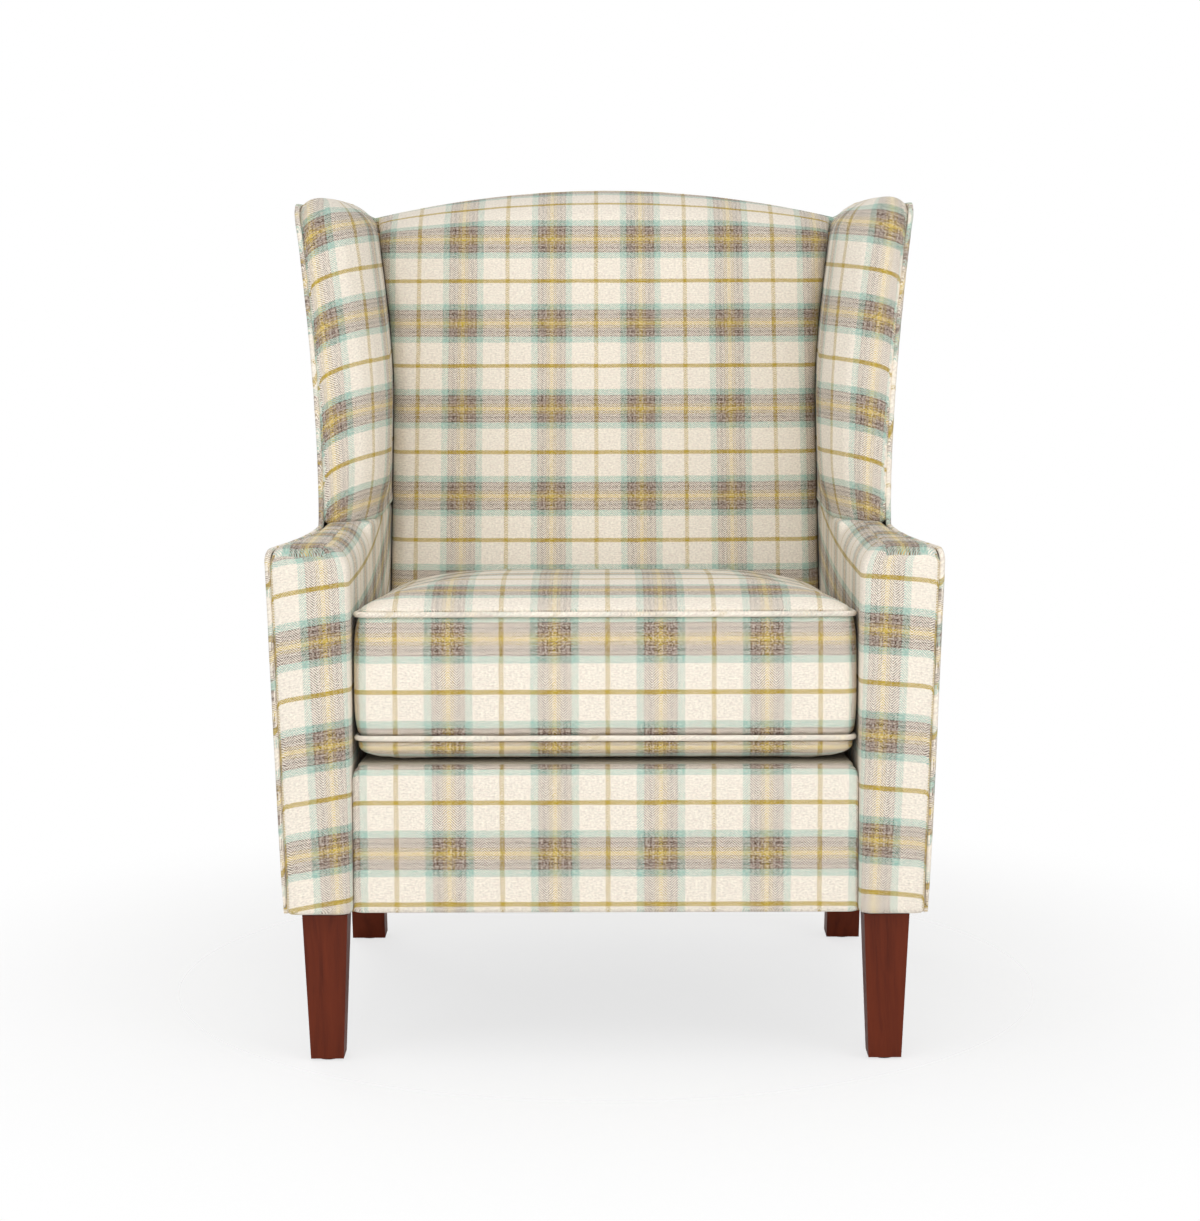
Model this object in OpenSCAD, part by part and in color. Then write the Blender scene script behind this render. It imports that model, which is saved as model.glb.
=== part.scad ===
// Fireside chair: a wing armchair with a loose seat cushion on four tapered legs.
// The chair faces -Y, and right means +X. Lengths are in millimetres.

/* [Overall] */
// Height of the arched back at its middle
chair_h = 1014; // [990:1:1040]
// Depth from the arm fronts to the top of the outside back
chair_d = 815; // [795:1:835]
// Width between the arms at the front
seat_w = 578; // [550:1:610]
// Height of the upholstery above the floor
leg_h = 177; // [155:1:195]

/* [Arms] */
// Height of the arm tops
arm_h = 600; // [580:1:620]
// Width of an arm at its front, near the top
arm_w = 97; // [90:1:104]
// How far the arm front stands out past the side behind it
arm_flare = 34; // [24:1:38]
// Length over which that flare fades out
flare_run = 260; // [220:1:290]
// How much narrower each arm is at its foot
arm_taper = 14.5; // [10:0.5:17]
// Radius of the inner top edge of an arm
arm_roll = 30; // [22:1:36]
// How much closer together the arms are at the back, each side
seat_taper = 5; // [0:1:8]

/* [Wings] */
// How far the wing tops stand below the middle of the arched back
wing_drop = 14; // [4:1:26]
// Distance from the arm fronts to the foot of a wing's front edge
wing_set = 298; // [280:1:320]
// How far a wing's front edge leans back from foot to top
wing_rake = 165; // [145:1:180]
// How far a wing flares out from foot to top
wing_flare = 44; // [33:1:49]
// How much farther apart the wings' insides are at the top, each side
wing_opening = 33; // [20:1:40]
// Depth of the broad roll along a wing's front
wing_roll = 100; // [80:1:110]
// How far that roll swells inwards past the crevice beside the back
wing_swell = 14; // [6:1:16]
// Radius of a wing's front top corner, seen from the side
wing_corner = 60; // [45:1:75]

/* [Back] */
// Depth that the back takes up at seat height
back_d = 271; // [262:1:285]
// Recline of the inside back, degrees
recline = 19.5; // [18:0.5:20]
// Extra hollow of the inside back towards its top
back_bow = 13; // [6:1:18]
// Lean of the outside back, degrees
back_lean = 12; // [11:0.5:13]
// Rise of the arched top over its ends
arch_rise = 37; // [30:1:46]
// Roll of the inside back over its top edge
top_roll = 52; // [44:1:60]
// Crown of the inside back across its width
back_crown = 12; // [6:1:18]

/* [Seat cushion] */
// Height of the seat deck at the front
deck_h = 351; // [340:1:362]
// Slope of the seat down to the back, degrees
seat_rake = 4; // [3:0.5:5]
// Height of the cushion's boxing from piping to piping
boxing_h = 141; // [125:1:150]
// Bulge of the bottom panel below the lower piping
belly_h = 29; // [24:1:34]
// Crown of the top panel above the upper piping
crown_h = 40; // [32:1:50]
// Room between the cushion and the foot of the inside back
cushion_play = 8.7; // [6:0.1:36]
// How far the cushion's sides draw in between its corners
draw_in = 4; // [2:1:8]

/* [Legs] */
// Width of a front leg at its top
front_leg_top = 52; // [46:1:54]
// Width of a front leg at the floor
front_leg_foot = 38; // [32:1:44]
// Width of a rear leg
rear_leg_w = 44; // [38:1:46]
// How far a rear leg's foot stands behind its top
leg_rake = 44; // [30:1:50]

/* [Frame] */
// Thickness of the side, front and rear rails
rail_t = 28; // [25:1:28]
// Depth of the back frame
post_d = 40; // [36:1:42]
// Height of the side rails
rail_h = 96; // [80:1:99]
// Thickness of the wing boards
board_t = 12; // [9:1:14]
// Number of seat springs
spring_count = 5; // [3:1:6]
// Thickness of the spring wire
wire_t = 3.8; // [3.2:0.2:4.2]

/* [Covers] */
// Thickness of the outside panels, board and cloth
panel_t = 5; // [4:0.5:6]
// Radius of the piping
piping_r = 3.2; // [2.8:0.1:3.4]
// Radius of the covered edges that the piping follows
edge_r = 12; // [11:1:14]

/* [Hidden] */
$fn = 48;

// Clearances, cuts and small shared sizes
fit = 0.3;
overrun = 30;
piece_step = 1;

// Main planes and widths
front_y = -chair_d / 2;
back_y = chair_d / 2;
side_x = seat_w / 2 + arm_w - arm_flare;
seat_z = deck_h + belly_h + boxing_h;
seat_d = chair_d - back_d;
wing_h = chair_h - wing_drop;
rear_in_x = seat_w / 2 - seat_taper;
skin = panel_t + fit;
side_skin = panel_t + 2 * fit;

// Shares of the side's taper and the wing's flare
taper_fade_share = 0.4;
flare_power = 1.5;
opening_start_share = 0.35;

// Outside back, and the plane of the back frame in front of it
function out_y(z) = back_y - (chair_h - z) * tan(back_lean);
function rear_y(z) = out_y(z) - skin / cos(back_lean);
function frame_y(z) = rear_y(z) - post_d / cos(back_lean);

// Faces of the arms
function along(y) = max(0, y - front_y);
function side_top(y) = side_x + arm_flare * pow(1 - min(1, along(y) / flare_run), 2);
function side_taper(y) = arm_taper * (1 - taper_fade_share * min(1, along(y) / chair_d));
function arm_out_x(y, z) = side_top(y) - side_taper(y) * (arm_h - z) / (arm_h - leg_h);
function arm_in_x(y) = seat_w / 2 - seat_taper * min(1, along(y) / seat_d);

// Faces of the wings
opening_z = arm_h + opening_start_share * (wing_h - arm_h);
function rise_share(z, low) = max(0, (z - low) / (wing_h - low));
function wing_out_x(z) = side_x + wing_flare * pow(rise_share(z, arm_h), flare_power);
function wing_in_x(z) = rear_in_x + wing_opening * pow(rise_share(z, opening_z), flare_power);
function wing_line(z) = front_y + wing_set + wing_rake * rise_share(z, arm_h);
function round_in(r, s) = r * (1 - sqrt(max(0, 1 - s * s)));
function wing_front(z, inset) =
    let (r = wing_corner - inset, s = (z - wing_h + wing_corner) / r)
    wing_line(z) + inset + (s > 0 ? round_in(r, min(1, s)) : 0);

// Inside back
function in_y(z) =
    let (s = max(0, (z - seat_z) / (chair_h - seat_z)))
    front_y + seat_d + (z - seat_z) * tan(recline) + back_bow * s * s;
arch_x = wing_in_x(wing_h);
function arch_z(x) = chair_h - arch_rise * pow(x / arch_x, 2);

// Piping seat: how far its centre lies outside and behind a covered edge
seat_angle = 65;
piping_reach = edge_r + piping_r + fit;
piping_out = piping_reach * sin(seat_angle) - edge_r;
piping_in = edge_r - piping_reach * cos(seat_angle);
panel_in = piping_in + piping_r + fit;
arm_corner = 20;

// Stations along an arm, shared by its pad, its panel and its piping
inner_bend_r = 12;
bend_y = wing_front(arm_h, piping_in) - inner_bend_r;
arm_run_shares = [0.06, 0.15, 0.3, 0.45, 0.6, 0.8, 1];
arm_stations = [for (s = arm_run_shares) front_y + arm_corner + s * (bend_y - front_y - arm_corner)];

// Frame
side_pad = 18;
facing_pad = 20;
arm_top_pad = 14;
post_w = 38;
arm_rail_h = 40;
frame_out = side_x - side_pad;
frame_in = frame_out - rail_t;
post_in = frame_out - post_w;
post_y = front_y + facing_pad;
rails_y = post_y + rail_t;
rear_rail_gap = 1;
rear_rail_y = rear_y(leg_h) - rail_t - rear_rail_gap;
arm_rail_top = arm_h - arm_top_pad;

// Seat deck and springs, in the plane of the sloping deck
rail_set = 8;
deck_t = 22;
clip_t = 1.5;
clip_w = 16;
clip_d = 10;
lip_d = 4;
deck_y = front_y + rail_set;
function deck_z(y) = deck_h - (y - deck_y) * tan(seat_rake);
spring_drop = fit + deck_t + fit + wire_t / 2;
function spring_z(y) = deck_z(y) - spring_drop / cos(seat_rake);
clip_front_y = post_y + rail_t / 2;
clip_rear_y = rear_rail_y + rail_t / 2;
clip_under = wire_t / 2 + clip_t;
clip_slope = clip_d / 2 * tan(seat_rake);
front_rail_top = spring_z(clip_front_y) - clip_under - clip_slope;
rear_rail_top = spring_z(clip_rear_y) - clip_under - clip_slope;
spring_edge = 60;
spring_bend = 13;
spring_leg = 26;

// Back frame heights, measured up the lean
lean_h = (arch_z(arch_x) - leg_h) / cos(back_lean);
crest_drop = 30;
crest_h = 60;
crest_top = lean_h - crest_drop;
lower_rail_h = 50;
lower_rail_gap = 12;
lower_rail_z = (deck_z(front_y + seat_d) - leg_h) / cos(back_lean) + lower_rail_gap;
web_t = 2;
web_w = 50;
web_count = 5;
foam_t = 20;
foam_edge = 45;

// Legs and their fixings
leg_set = 15;
glide_t = 3;
glide_r = 12;
plate_t = 3;
plate_w = 40;
bolt_r = 4;
bolt_in_leg = 30;
bolt_in_frame = 40;
leg_inset = 11.5;
leg_x = frame_out - leg_inset;
front_leg_y = front_y + leg_set + front_leg_top / 2;
rear_leg_set = 41;
rear_leg_y = rear_y(leg_h) - rear_leg_set;
bolt_ahead = 10;
rear_bolt_y = rear_leg_y - bolt_ahead;
block_w = 60;
block_h = 60;
screw_r = 2.2;
screw_head_r = 4.5;
screw_head_t = 3;
screw_past = 12;
dust_t = 1;
dust_gap = 2;
dust_edge = 4;

// Wing boards
board_inset = 26;
board_set = 10;
board_x = frame_in + board_set;
board_gap = 1;
board_cant = atan((wing_flare - board_t) / (wing_h - arm_h));

// Seat cushion
cushion_gap = 1.7;
cushion_set = 5;
cushion_corner = 20;
seam_dip = 5.8;
seam_edge = 3.4;
foam_gap = 30;
zip_l = 400;
zip_recess_h = 16;
zip_recess_d = 8;
slit_h = 6;
slit_l = zip_l - 2 * zip_recess_d;
tape_h = 14;
tape_t = 1.6;
slider_l = 12;
slider_h = 8;
slider_t = 3;
pull_l = 5;

cloth = [0.86, 0.82, 0.74];
cloth_dark = [0.7, 0.67, 0.6];
stain = [0.33, 0.12, 0.08];
beech = [0.8, 0.66, 0.47];
steel = [0.6, 0.62, 0.65];

// Meshes: rings of points joined in order, closed by a zip of triangles across each end
function ring_faces(n, k) = [
    for (i = [0:n - 1])
        let (a = k * n + i, b = k * n + (i + 1) % n)
        each [[a, a + n, b + n], [a, b + n, b]]
];
function cap_faces(n, base, flip) = [
    for (i = [0:n / 2 - 2])
        let (a = base + i, b = a + 1, c = base + n - 2 - i, d = c + 1)
        each (flip ? [[d, c, a], [c, b, a]] : [[a, c, d], [a, b, c]])
];

module loft(rings) {
    n = len(rings[0]);
    last = len(rings) - 1;
    polyhedron(
        points = [for (r = rings) each r],
        faces = concat(
            cap_faces(n, 0, false),
            [for (k = [0:last - 1]) each ring_faces(n, k)],
            cap_faces(n, last * n, true)
        )
    );
}

// A tube along a path that never runs straight along X; a closed one joins its ends
function unit(v) = v / norm(v);
function tube_ring(p, t, r, sides) =
    let (v = unit(cross(t, abs(t.x) > 0.9 ? [0, 0, 1] : [1, 0, 0])), u = cross(v, t))
    [for (i = [0:sides - 1]) p + r * (cos(360 * i / sides) * u + sin(360 * i / sides) * v)];
function tube_turn(path, i) =
    let (n = len(path))
    unit(path[min(n - 1, i + 1)] - path[max(0, i - 1)]);

module open_tube(path, r, sides) {
    loft([for (i = [0:len(path) - 1]) tube_ring(path[i], tube_turn(path, i), r, sides)]);
}

// A closed tube round a flat loop: each ring stands across the loop's own normal
module loop_tube(path, r, sides) {
    n = len(path);
    rings = [
        for (i = [0:n - 1])
            let (t = unit(path[(i + 1) % n] - path[(i + n - 1) % n]))
            [for (k = [0:sides - 1])
                let (a = 360 * k / sides)
                path[i] + r * [-t.y * cos(a), t.x * cos(a), sin(a)]]
    ];
    polyhedron(
        points = [for (ring = rings) each ring],
        faces = [
            for (i = [0:n - 1]) for (k = [0:sides - 1])
                let (a = i * sides + k, b = i * sides + (k + 1) % sides)
                let (c = ((i + 1) % n) * sides + k, d = ((i + 1) % n) * sides + (k + 1) % sides)
                each [[a, c, d], [a, d, b]]
        ]
    );
}

// Places: the leaning plane of the back frame, and the sloping seat deck
module in_back() {
    translate([0, rear_y(leg_h), leg_h]) rotate([-back_lean, 0, 0]) children();
}

module on_deck() {
    translate([0, deck_y, deck_h]) rotate([-seat_rake, 0, 0]) children();
}

module block(low, high) {
    translate(low) cube(high - low);
}

module left_of() {
    mirror([1, 0, 0]) children();
}

// Legs
module tapered_leg(top, foot, low, high) {
    face = [[-foot / 2, low], [foot / 2, low], [top / 2, high], [-top / 2, high]];
    intersection() {
        rotate([90, 0, 0]) linear_extrude(top, center = true) polygon(face);
        rotate([90, 0, 90]) linear_extrude(top, center = true) polygon(face);
    }
}

module front_leg_right() {
    color(stain) difference() {
        translate([leg_x, front_leg_y, 0])
            tapered_leg(front_leg_top, front_leg_foot, glide_t, leg_h - plate_t);
        hanger_bolt(front_leg_y);
    }
}

module rear_leg_right() {
    color(stain) difference() {
        translate([leg_x, rear_leg_y, 0]) rotate([90, 0, 90])
            linear_extrude(rear_leg_w, center = true) polygon([
                [-rear_leg_w / 2 + leg_rake, glide_t],
                [rear_leg_w / 2 + leg_rake, glide_t],
                [rear_leg_w / 2, leg_h - plate_t],
                [-rear_leg_w / 2, leg_h - plate_t]
            ]);
        hanger_bolt(rear_bolt_y);
    }
}

module on_legs(front_at, rear_at) {
    for (side = [-1, 1]) {
        translate([side * leg_x, front_at, 0]) children();
        translate([side * leg_x, rear_at, 0]) children();
    }
}

module leg_glides() {
    color("dimgray") on_legs(front_leg_y, rear_leg_y + leg_rake) cylinder(h = glide_t, r = glide_r);
}

module leg_plates() {
    color(steel) difference() {
        on_legs(front_leg_y, rear_leg_y)
            translate([-plate_w / 2, -plate_w / 2, leg_h - plate_t]) cube([plate_w, plate_w, plate_t]);
        hanger_bolts();
    }
}

module hanger_bolt(y) {
    translate([leg_x, y, leg_h - bolt_in_leg]) cylinder(h = bolt_in_leg + bolt_in_frame, r = bolt_r);
}

module hanger_bolts() {
    color(steel) for (y = [front_leg_y, rear_bolt_y]) {
        hanger_bolt(y);
        left_of() hanger_bolt(y);
    }
}

// Seat frame
module front_rail() {
    color(beech) difference() {
        block([-post_in, post_y, leg_h], [post_in, rails_y, front_rail_top]);
        corner_screw_group();
    }
}

module rear_rail() {
    color(beech) difference() {
        block([-frame_in, rear_rail_y, leg_h], [frame_in, rear_rail_y + rail_t, rear_rail_top]);
        corner_screw_group();
    }
}

// Everything behind the front face of the back frame
module behind_back_frame() {
    in_back() block([-2 * frame_out, -post_d, -chair_h], [2 * frame_out, chair_d, 2 * chair_h]);
}

module side_rail_right() {
    color(beech) difference() {
        block([frame_in, rails_y, leg_h], [frame_out, rear_y(leg_h), leg_h + rail_h]);
        behind_back_frame();
        hanger_bolt(rear_bolt_y);
        corner_screw_group();
    }
}

// One screw, along the diagonal into a corner of the seat frame
module corner_screw(z) {
    reach = block_w / sqrt(2);
    translate([0, 0, leg_h + z]) rotate([0, 90, 0]) union() {
        translate([0, 0, -reach / 2 - screw_head_t]) cylinder(h = screw_head_t, r = screw_head_r);
        translate([0, 0, -reach / 2]) cylinder(h = reach / 2 + screw_past, r = screw_r);
    }
}

screw_height_shares = [0.3, 0.7];

module corner_screw_group() {
    for (side = [0, 1]) mirror([side, 0, 0]) for (share = screw_height_shares) {
        translate([frame_in, rails_y, 0]) rotate([0, 0, -45]) corner_screw(share * block_h);
        translate([frame_in, rear_rail_y, 0]) rotate([0, 0, 45]) corner_screw(share * block_h);
    }
}

module corner_block(y, way) {
    translate([0, 0, leg_h]) linear_extrude(block_h) polygon(
        way > 0 ? [[frame_in, y], [frame_in, y + block_w], [frame_in - block_w, y]]
                : [[frame_in, y], [frame_in - block_w, y], [frame_in, y - block_w]]);
}

module corner_blocks() {
    color(beech) difference() {
        for (side = [0, 1]) mirror([side, 0, 0]) {
            corner_block(rails_y, 1);
            corner_block(rear_rail_y, -1);
        }
        corner_screw_group();
    }
}

module corner_screws() {
    color(steel) corner_screw_group();
}

// Side and back frame
module arm_post_right() {
    color(beech) difference() {
        block([post_in, post_y, leg_h], [frame_out, rails_y, arm_rail_top]);
        hanger_bolt(front_leg_y);
        corner_screw_group();
    }
}

module arm_rail_right() {
    color(beech) difference() {
        block([frame_in, rails_y, arm_rail_top - arm_rail_h], [frame_out, back_y, arm_rail_top]);
        behind_back_frame();
    }
}

module back_post_right() {
    color(beech) difference() {
        in_back() block([frame_in, -post_d, -overrun], [frame_out, 0, crest_top - crest_h]);
        block([0, -back_y, leg_h - 2 * overrun], [2 * frame_out, 2 * back_y, leg_h]);
        corner_screw_group();
    }
}

module crest_rail() {
    color(beech) in_back() block([-frame_out, -post_d, crest_top - crest_h], [frame_out, 0, crest_top]);
}

module lower_back_rail() {
    color(beech) in_back()
        block([-frame_in, -post_d, lower_rail_z], [frame_in, 0, lower_rail_z + lower_rail_h]);
}

board_rise_shares = [0, 0.25, 0.5, 0.75, 1];
corner_angle_steps = [1, 2, 3, 4];

module wing_board_right() {
    corner_z = wing_h - wing_corner;
    r = wing_corner - board_inset;
    low = arm_rail_top - board_t;
    function up(z) = z - arm_rail_top;
    color(beech) difference() {
        translate([board_x, 0, arm_rail_top]) rotate([0, board_cant, 0]) rotate([90, 0, 90])
            linear_extrude(board_t) polygon(concat(
                [[frame_y(low) - board_gap, up(low)]],
                [for (s = board_rise_shares)
                    let (z = low + s * (corner_z - low))
                    [wing_line(z) + board_inset, up(z)]],
                [for (k = corner_angle_steps)
                    let (a = 90 * k / len(corner_angle_steps))
                    [wing_line(corner_z) + board_inset + r * (1 - cos(a)), up(corner_z) + r * sin(a)]],
                [[frame_y(wing_h - board_inset) - board_gap, up(wing_h - board_inset)]]
            ));
        block([0, -back_y, arm_rail_top - 2 * overrun], [2 * frame_out, back_y, arm_rail_top]);
    }
}

// Seat springs: zigzag wire lying in the plane of the deck, from rail to rail
spring_from = (clip_front_y - clip_d / 2 - deck_y) / cos(seat_rake);
spring_to = (clip_rear_y + clip_d / 2 - deck_y) / cos(seat_rake);
spring_pitch = 2 * spring_bend;
spring_turns = floor((spring_to - spring_from) / spring_pitch);
spring_step = (spring_to - spring_from) / spring_turns;
bend_angles = [-90, -45, 0, 45, 90];
function spring_line() = [
    for (k = [0:spring_turns - 1])
        let (side = k % 2 == 0 ? 1 : -1, y = spring_from + (k + 0.5) * spring_step)
        for (a = bend_angles)
            [side * (spring_leg / 2 + spring_step / 2 * cos(a)), y + spring_step / 2 * sin(a)]
];
function side_shift(path, i, d) =
    let (n = len(path), t = unit(path[min(n - 1, i + 1)] - path[max(0, i - 1)]))
    path[i] + d * [-t.y, t.x];
spring_path = concat(
    [[-spring_leg / 2, spring_from]],
    spring_line(),
    [[(spring_turns % 2 == 0 ? -1 : 1) * -spring_leg / 2, spring_to]]
);

module spring_at(x) {
    n = len(spring_path);
    on_deck() translate([x, 0, -spring_drop - wire_t / 2]) linear_extrude(wire_t) polygon(concat(
        [for (i = [0:n - 1]) side_shift(spring_path, i, wire_t / 2)],
        [for (i = [n - 1:-1:0]) side_shift(spring_path, i, -wire_t / 2)]
    ));
}

spring_span = seat_w - 2 * spring_edge;
function spring_x(k) = -spring_span / 2 + spring_span * (k + 0.5) / spring_count;

module seat_springs() {
    color(steel) for (k = [0:spring_count - 1]) spring_at(spring_x(k));
}

module spring_clips() {
    color("gray") difference() {
        for (k = [0:spring_count - 1]) {
            x = spring_x(k);
            for (end = [[clip_front_y, front_rail_top], [clip_rear_y, rear_rail_top]])
                block([x - clip_w / 2, end[0] - clip_d / 2, end[1]],
                      [x + clip_w / 2, end[0] + clip_d / 2, spring_z(end[0]) + wire_t / 2 - clip_slope]);
        }
        for (k = [0:spring_count - 1]) spring_at(spring_x(k));
    }
}

deck_from = (post_y + lip_d + fit - deck_y + (deck_t + fit) * sin(seat_rake)) / cos(seat_rake);
deck_end_gap = 4;
deck_to = frame_y(rear_rail_top) - deck_end_gap - deck_y;

module seat_deck() {
    half = rear_in_x - fit;
    color(cloth_dark) on_deck() block([-half, deck_from, -deck_t - fit], [half, deck_to, -fit]);
}

lip_r = 14;
lip_steps = 5;

module front_rail_cover() {
    back = post_y + lip_d;
    half = arm_in_x(back) - fit;
    top = deck_z(deck_y + lip_r) - fit;
    color(cloth) translate([-half, 0, 0]) rotate([90, 0, 90]) linear_extrude(2 * half) polygon(concat(
        [[post_y, leg_h], [deck_y, leg_h]],
        [for (k = [0:lip_steps])
            let (a = 90 * k / lip_steps)
            [deck_y + lip_r * (1 - cos(a)), top - lip_r * (1 - sin(a))]],
        [[back, deck_z(back) - fit], [back, front_rail_top], [post_y, front_rail_top]]
    ));
}

// Back webbing and foam, on the front of the back frame
web_low = lower_rail_z;
web_high = crest_top - crest_h / 2;

module back_webbing() {
    pitch = 2 * frame_in / web_count;
    color("tan") in_back() for (k = [0:web_count - 1])
        translate([(k + 0.5) * pitch - frame_in, 0, 0])
            block([-web_w / 2, -post_d - web_t, web_low], [web_w / 2, -post_d, web_high]);
}

module back_foam_space() {
    half = rear_in_x - foam_edge;
    rear = -post_d - web_t;
    in_back() block([-half, rear - foam_t, lower_rail_z], [half, rear, crest_top - crest_h]);
}

module back_foam() {
    color("khaki") back_foam_space();
}

// The room that the back frame takes up inside the pads
module back_frame_space(front_gap) {
    in_back() block([-2 * frame_out, -post_d - front_gap, -2 * overrun], [2 * frame_out, overrun, crest_top]);
}

module post_space() {
    in_back() block([-frame_out, -post_d, -2 * overrun], [frame_out, overrun, crest_top]);
}

across_shares = [-1, -0.985, -0.94, -0.85, -0.7, -0.45, -0.2, 0, 0.2, 0.45, 0.7, 0.85, 0.94, 0.985, 1];
back_rise_shares = [0, 0.08, 0.2, 0.33, 0.47, 0.61, 0.74, 0.86, 1];
roll_shares = [0.35, 0.6, 0.8, 0.92, 0.985];
back_edge_r = 26;
back_edge_d = 22;
back_foot_z = deck_z(in_y(deck_z(front_y + seat_d))) + fit;
function back_half(z) = wing_in_x(z) - 3 * fit;
function back_front(x, z) =
    let (half = back_half(z), e = (abs(x) - half + back_edge_r) / back_edge_r)
    let (rounding = e > 0 ? back_edge_d / back_edge_r * round_in(back_edge_r, e) : 0)
    in_y(z) + back_crown * pow(x / half, 2) + rounding;
function back_point(u, z, roll, rear) =
    let (x = u * back_half(z), y0 = back_front(x, z), y1 = rear_y(z))
    [x, rear ? y1 : y0 + (y1 - y0) * (1 - sqrt(1 - roll * roll)), z];
function back_ring(v, roll) =
    let (points = [for (rear = [false, true]) for (i = [0:len(across_shares) - 1])
        let (u = across_shares[rear ? len(across_shares) - 1 - i : i])
        let (z1 = arch_z(u * arch_x), z0 = z1 - top_roll)
        let (z = v < 1 ? back_foot_z + v * (z0 - back_foot_z) : z0 + roll * top_roll)
        back_point(u, z, roll, rear)])
    points;

module inside_back() {
    color(cloth) difference() {
        loft(concat(
            [for (v = back_rise_shares) back_ring(v, 0)],
            [for (s = roll_shares) back_ring(1, s)]
        ));
        back_frame_space(web_t);
        back_foam_space();
    }
}

// Arms: rings of the arm's cross-section, from the front face back to the leaning rear plane
front_round_angles = [0, 20, 40, 60, 90];
rear_shares = [0.12, 0.5, 1];
inner_arc_angles = [180, 158, 135, 112, 90];
outer_arc_angles = [90, 60, 30, 0];
under_wing_r = 6;
wing_foot_y = wing_front(arm_h, 0);

function arm_top_z(y) = arm_h - (along(y) < arm_corner ? round_in(arm_corner, 1 - along(y) / arm_corner) : 0);
function sheared(y, z, shear) = y + shear * (rear_y(z) - rear_y(arm_h));
function arm_ring(y, shear) =
    let (inset = along(y) < edge_r ? round_in(edge_r, 1 - along(y) / edge_r) : 0)
    let (zt = arm_top_z(y), zm = (leg_h + zt) / 2, ze = zt - edge_r)
    let (ri = shear > 0 || y >= wing_foot_y ? under_wing_r : arm_roll)
    let (xi = arm_in_x(y) + inset, xo = arm_out_x(sheared(y, ze, shear), ze) - side_skin - inset)
    let (flat = concat(
        [[xi, leg_h], [xi, zm]],
        [for (a = inner_arc_angles) [xi + ri + ri * cos(a), zt - ri + ri * sin(a)]],
        [[(xi + xo) / 2, zt]],
        [for (a = outer_arc_angles) [xo - edge_r + edge_r * cos(a), ze + edge_r * sin(a)]],
        [for (z = [zm, leg_h]) [arm_out_x(sheared(y, z, shear), z) - side_skin - inset, z]]
    ))
    [for (q = flat) [q[0], sheared(y, q[1], shear), q[1]]];
function front_stations(r) = [for (a = front_round_angles) front_y + r * (1 - cos(a))];
function arm_rings() = concat(
    [for (y = front_stations(edge_r)) arm_ring(y, 0)],
    [arm_ring(front_y + arm_corner, 0)],
    [for (y = arm_stations) arm_ring(y, 0)],
    [arm_ring(wing_foot_y - piece_step, 0), arm_ring(wing_foot_y, 0)],
    [for (s = rear_shares) arm_ring(wing_foot_y + s * (rear_y(arm_h) - wing_foot_y), s)]
);

module arm_frame_space() {
    block([post_in, post_y, leg_h - overrun], [frame_out, 2 * back_y, arm_rail_top]);
    block([-frame_in, post_y, leg_h - overrun], [frame_out, 2 * back_y, front_rail_top]);
}

module arm_right() {
    color(cloth) difference() {
        loft(arm_rings());
        arm_frame_space();
        post_space();
        wing_board_right();
    }
}

// Wings: level rings from the arm top up over the domed top
wing_rise_shares = [0, 0.14, 0.28, 0.42, 0.56, 0.7, 0.85, 1];
wing_roll_h = 50;
wing_roll_share = 0.72;
swell_rise = 80;
dome_shares = [0.3, 0.55, 0.75, 0.88, 0.96, 0.99];
narrow_share = 0.45;
front_arc_angles = [0, 18, 36, 54, 72, 90];
side_arc_angles = [30, 60, 90];
crevice_d = 24;
bow_share = 0.06;

function wing_ring(z, s) =
    let (outer_s = max(0, (z - wing_h + edge_r) / edge_r))
    let (xo = wing_out_x(z) - side_skin, tuck = wing_roll_share * (1 - sqrt(1 - s * s)))
    let (rise = 1 - min(1, (z - arm_h) / swell_rise), swell = wing_swell * (1 - rise * rise))
    let (x_front = wing_in_x(z) - swell, xc = wing_in_x(z) + tuck * (xo - wing_in_x(z)))
    let (xi = x_front + tuck * (xo - x_front), x1 = xo - round_in(edge_r, outer_s))
    let (er = min(edge_r, narrow_share * (x1 - xi)), y0 = wing_front(z, 0), yr = rear_y(z))
    let (yc = in_y(z) + crevice_d, a = x1 - er - xi, yi = y0 + wing_roll, bow = bow_share * (xi - xc))
    let (flat = concat(
        [[xc, yr], [xc, yc]],
        [for (t = [1 / 3, 2 / 3]) [xc + t * (xi - xc) - bow, yc + t * (yi - yc)]],
        [for (f = front_arc_angles) [xi + a * (1 - cos(f)), yi - wing_roll * sin(f)]],
        [for (f = side_arc_angles) [x1 - er + er * sin(f), y0 + er * (1 - cos(f))]],
        [[x1, yi], [x1, (yi + yr) / 2], [x1, yr]]
    ))
    [for (q = flat) [q[0], q[1], z]];

module wing_right() {
    low = arm_h + fit;
    high = wing_h - wing_roll_h;
    color(cloth) difference() {
        loft(concat(
            [for (t = wing_rise_shares) wing_ring(low + t * (wing_h - wing_corner - low), 0)],
            [wing_ring(high, 0)],
            [for (s = dome_shares) wing_ring(high + wing_roll_h * s, s)]
        ));
        post_space();
        wing_board_right();
    }
}

// Piping up the arm front, back along the arm and up and over the wing
piping_sides = 6;
piping_straight_shares = [0, 0.5, 1];
wing_run_shares = [0.1, 0.25, 0.4, 0.55, 0.7, 0.85, 1];
top_run_shares = [0.33, 0.66, 1];
bend_steps = 5;

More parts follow.
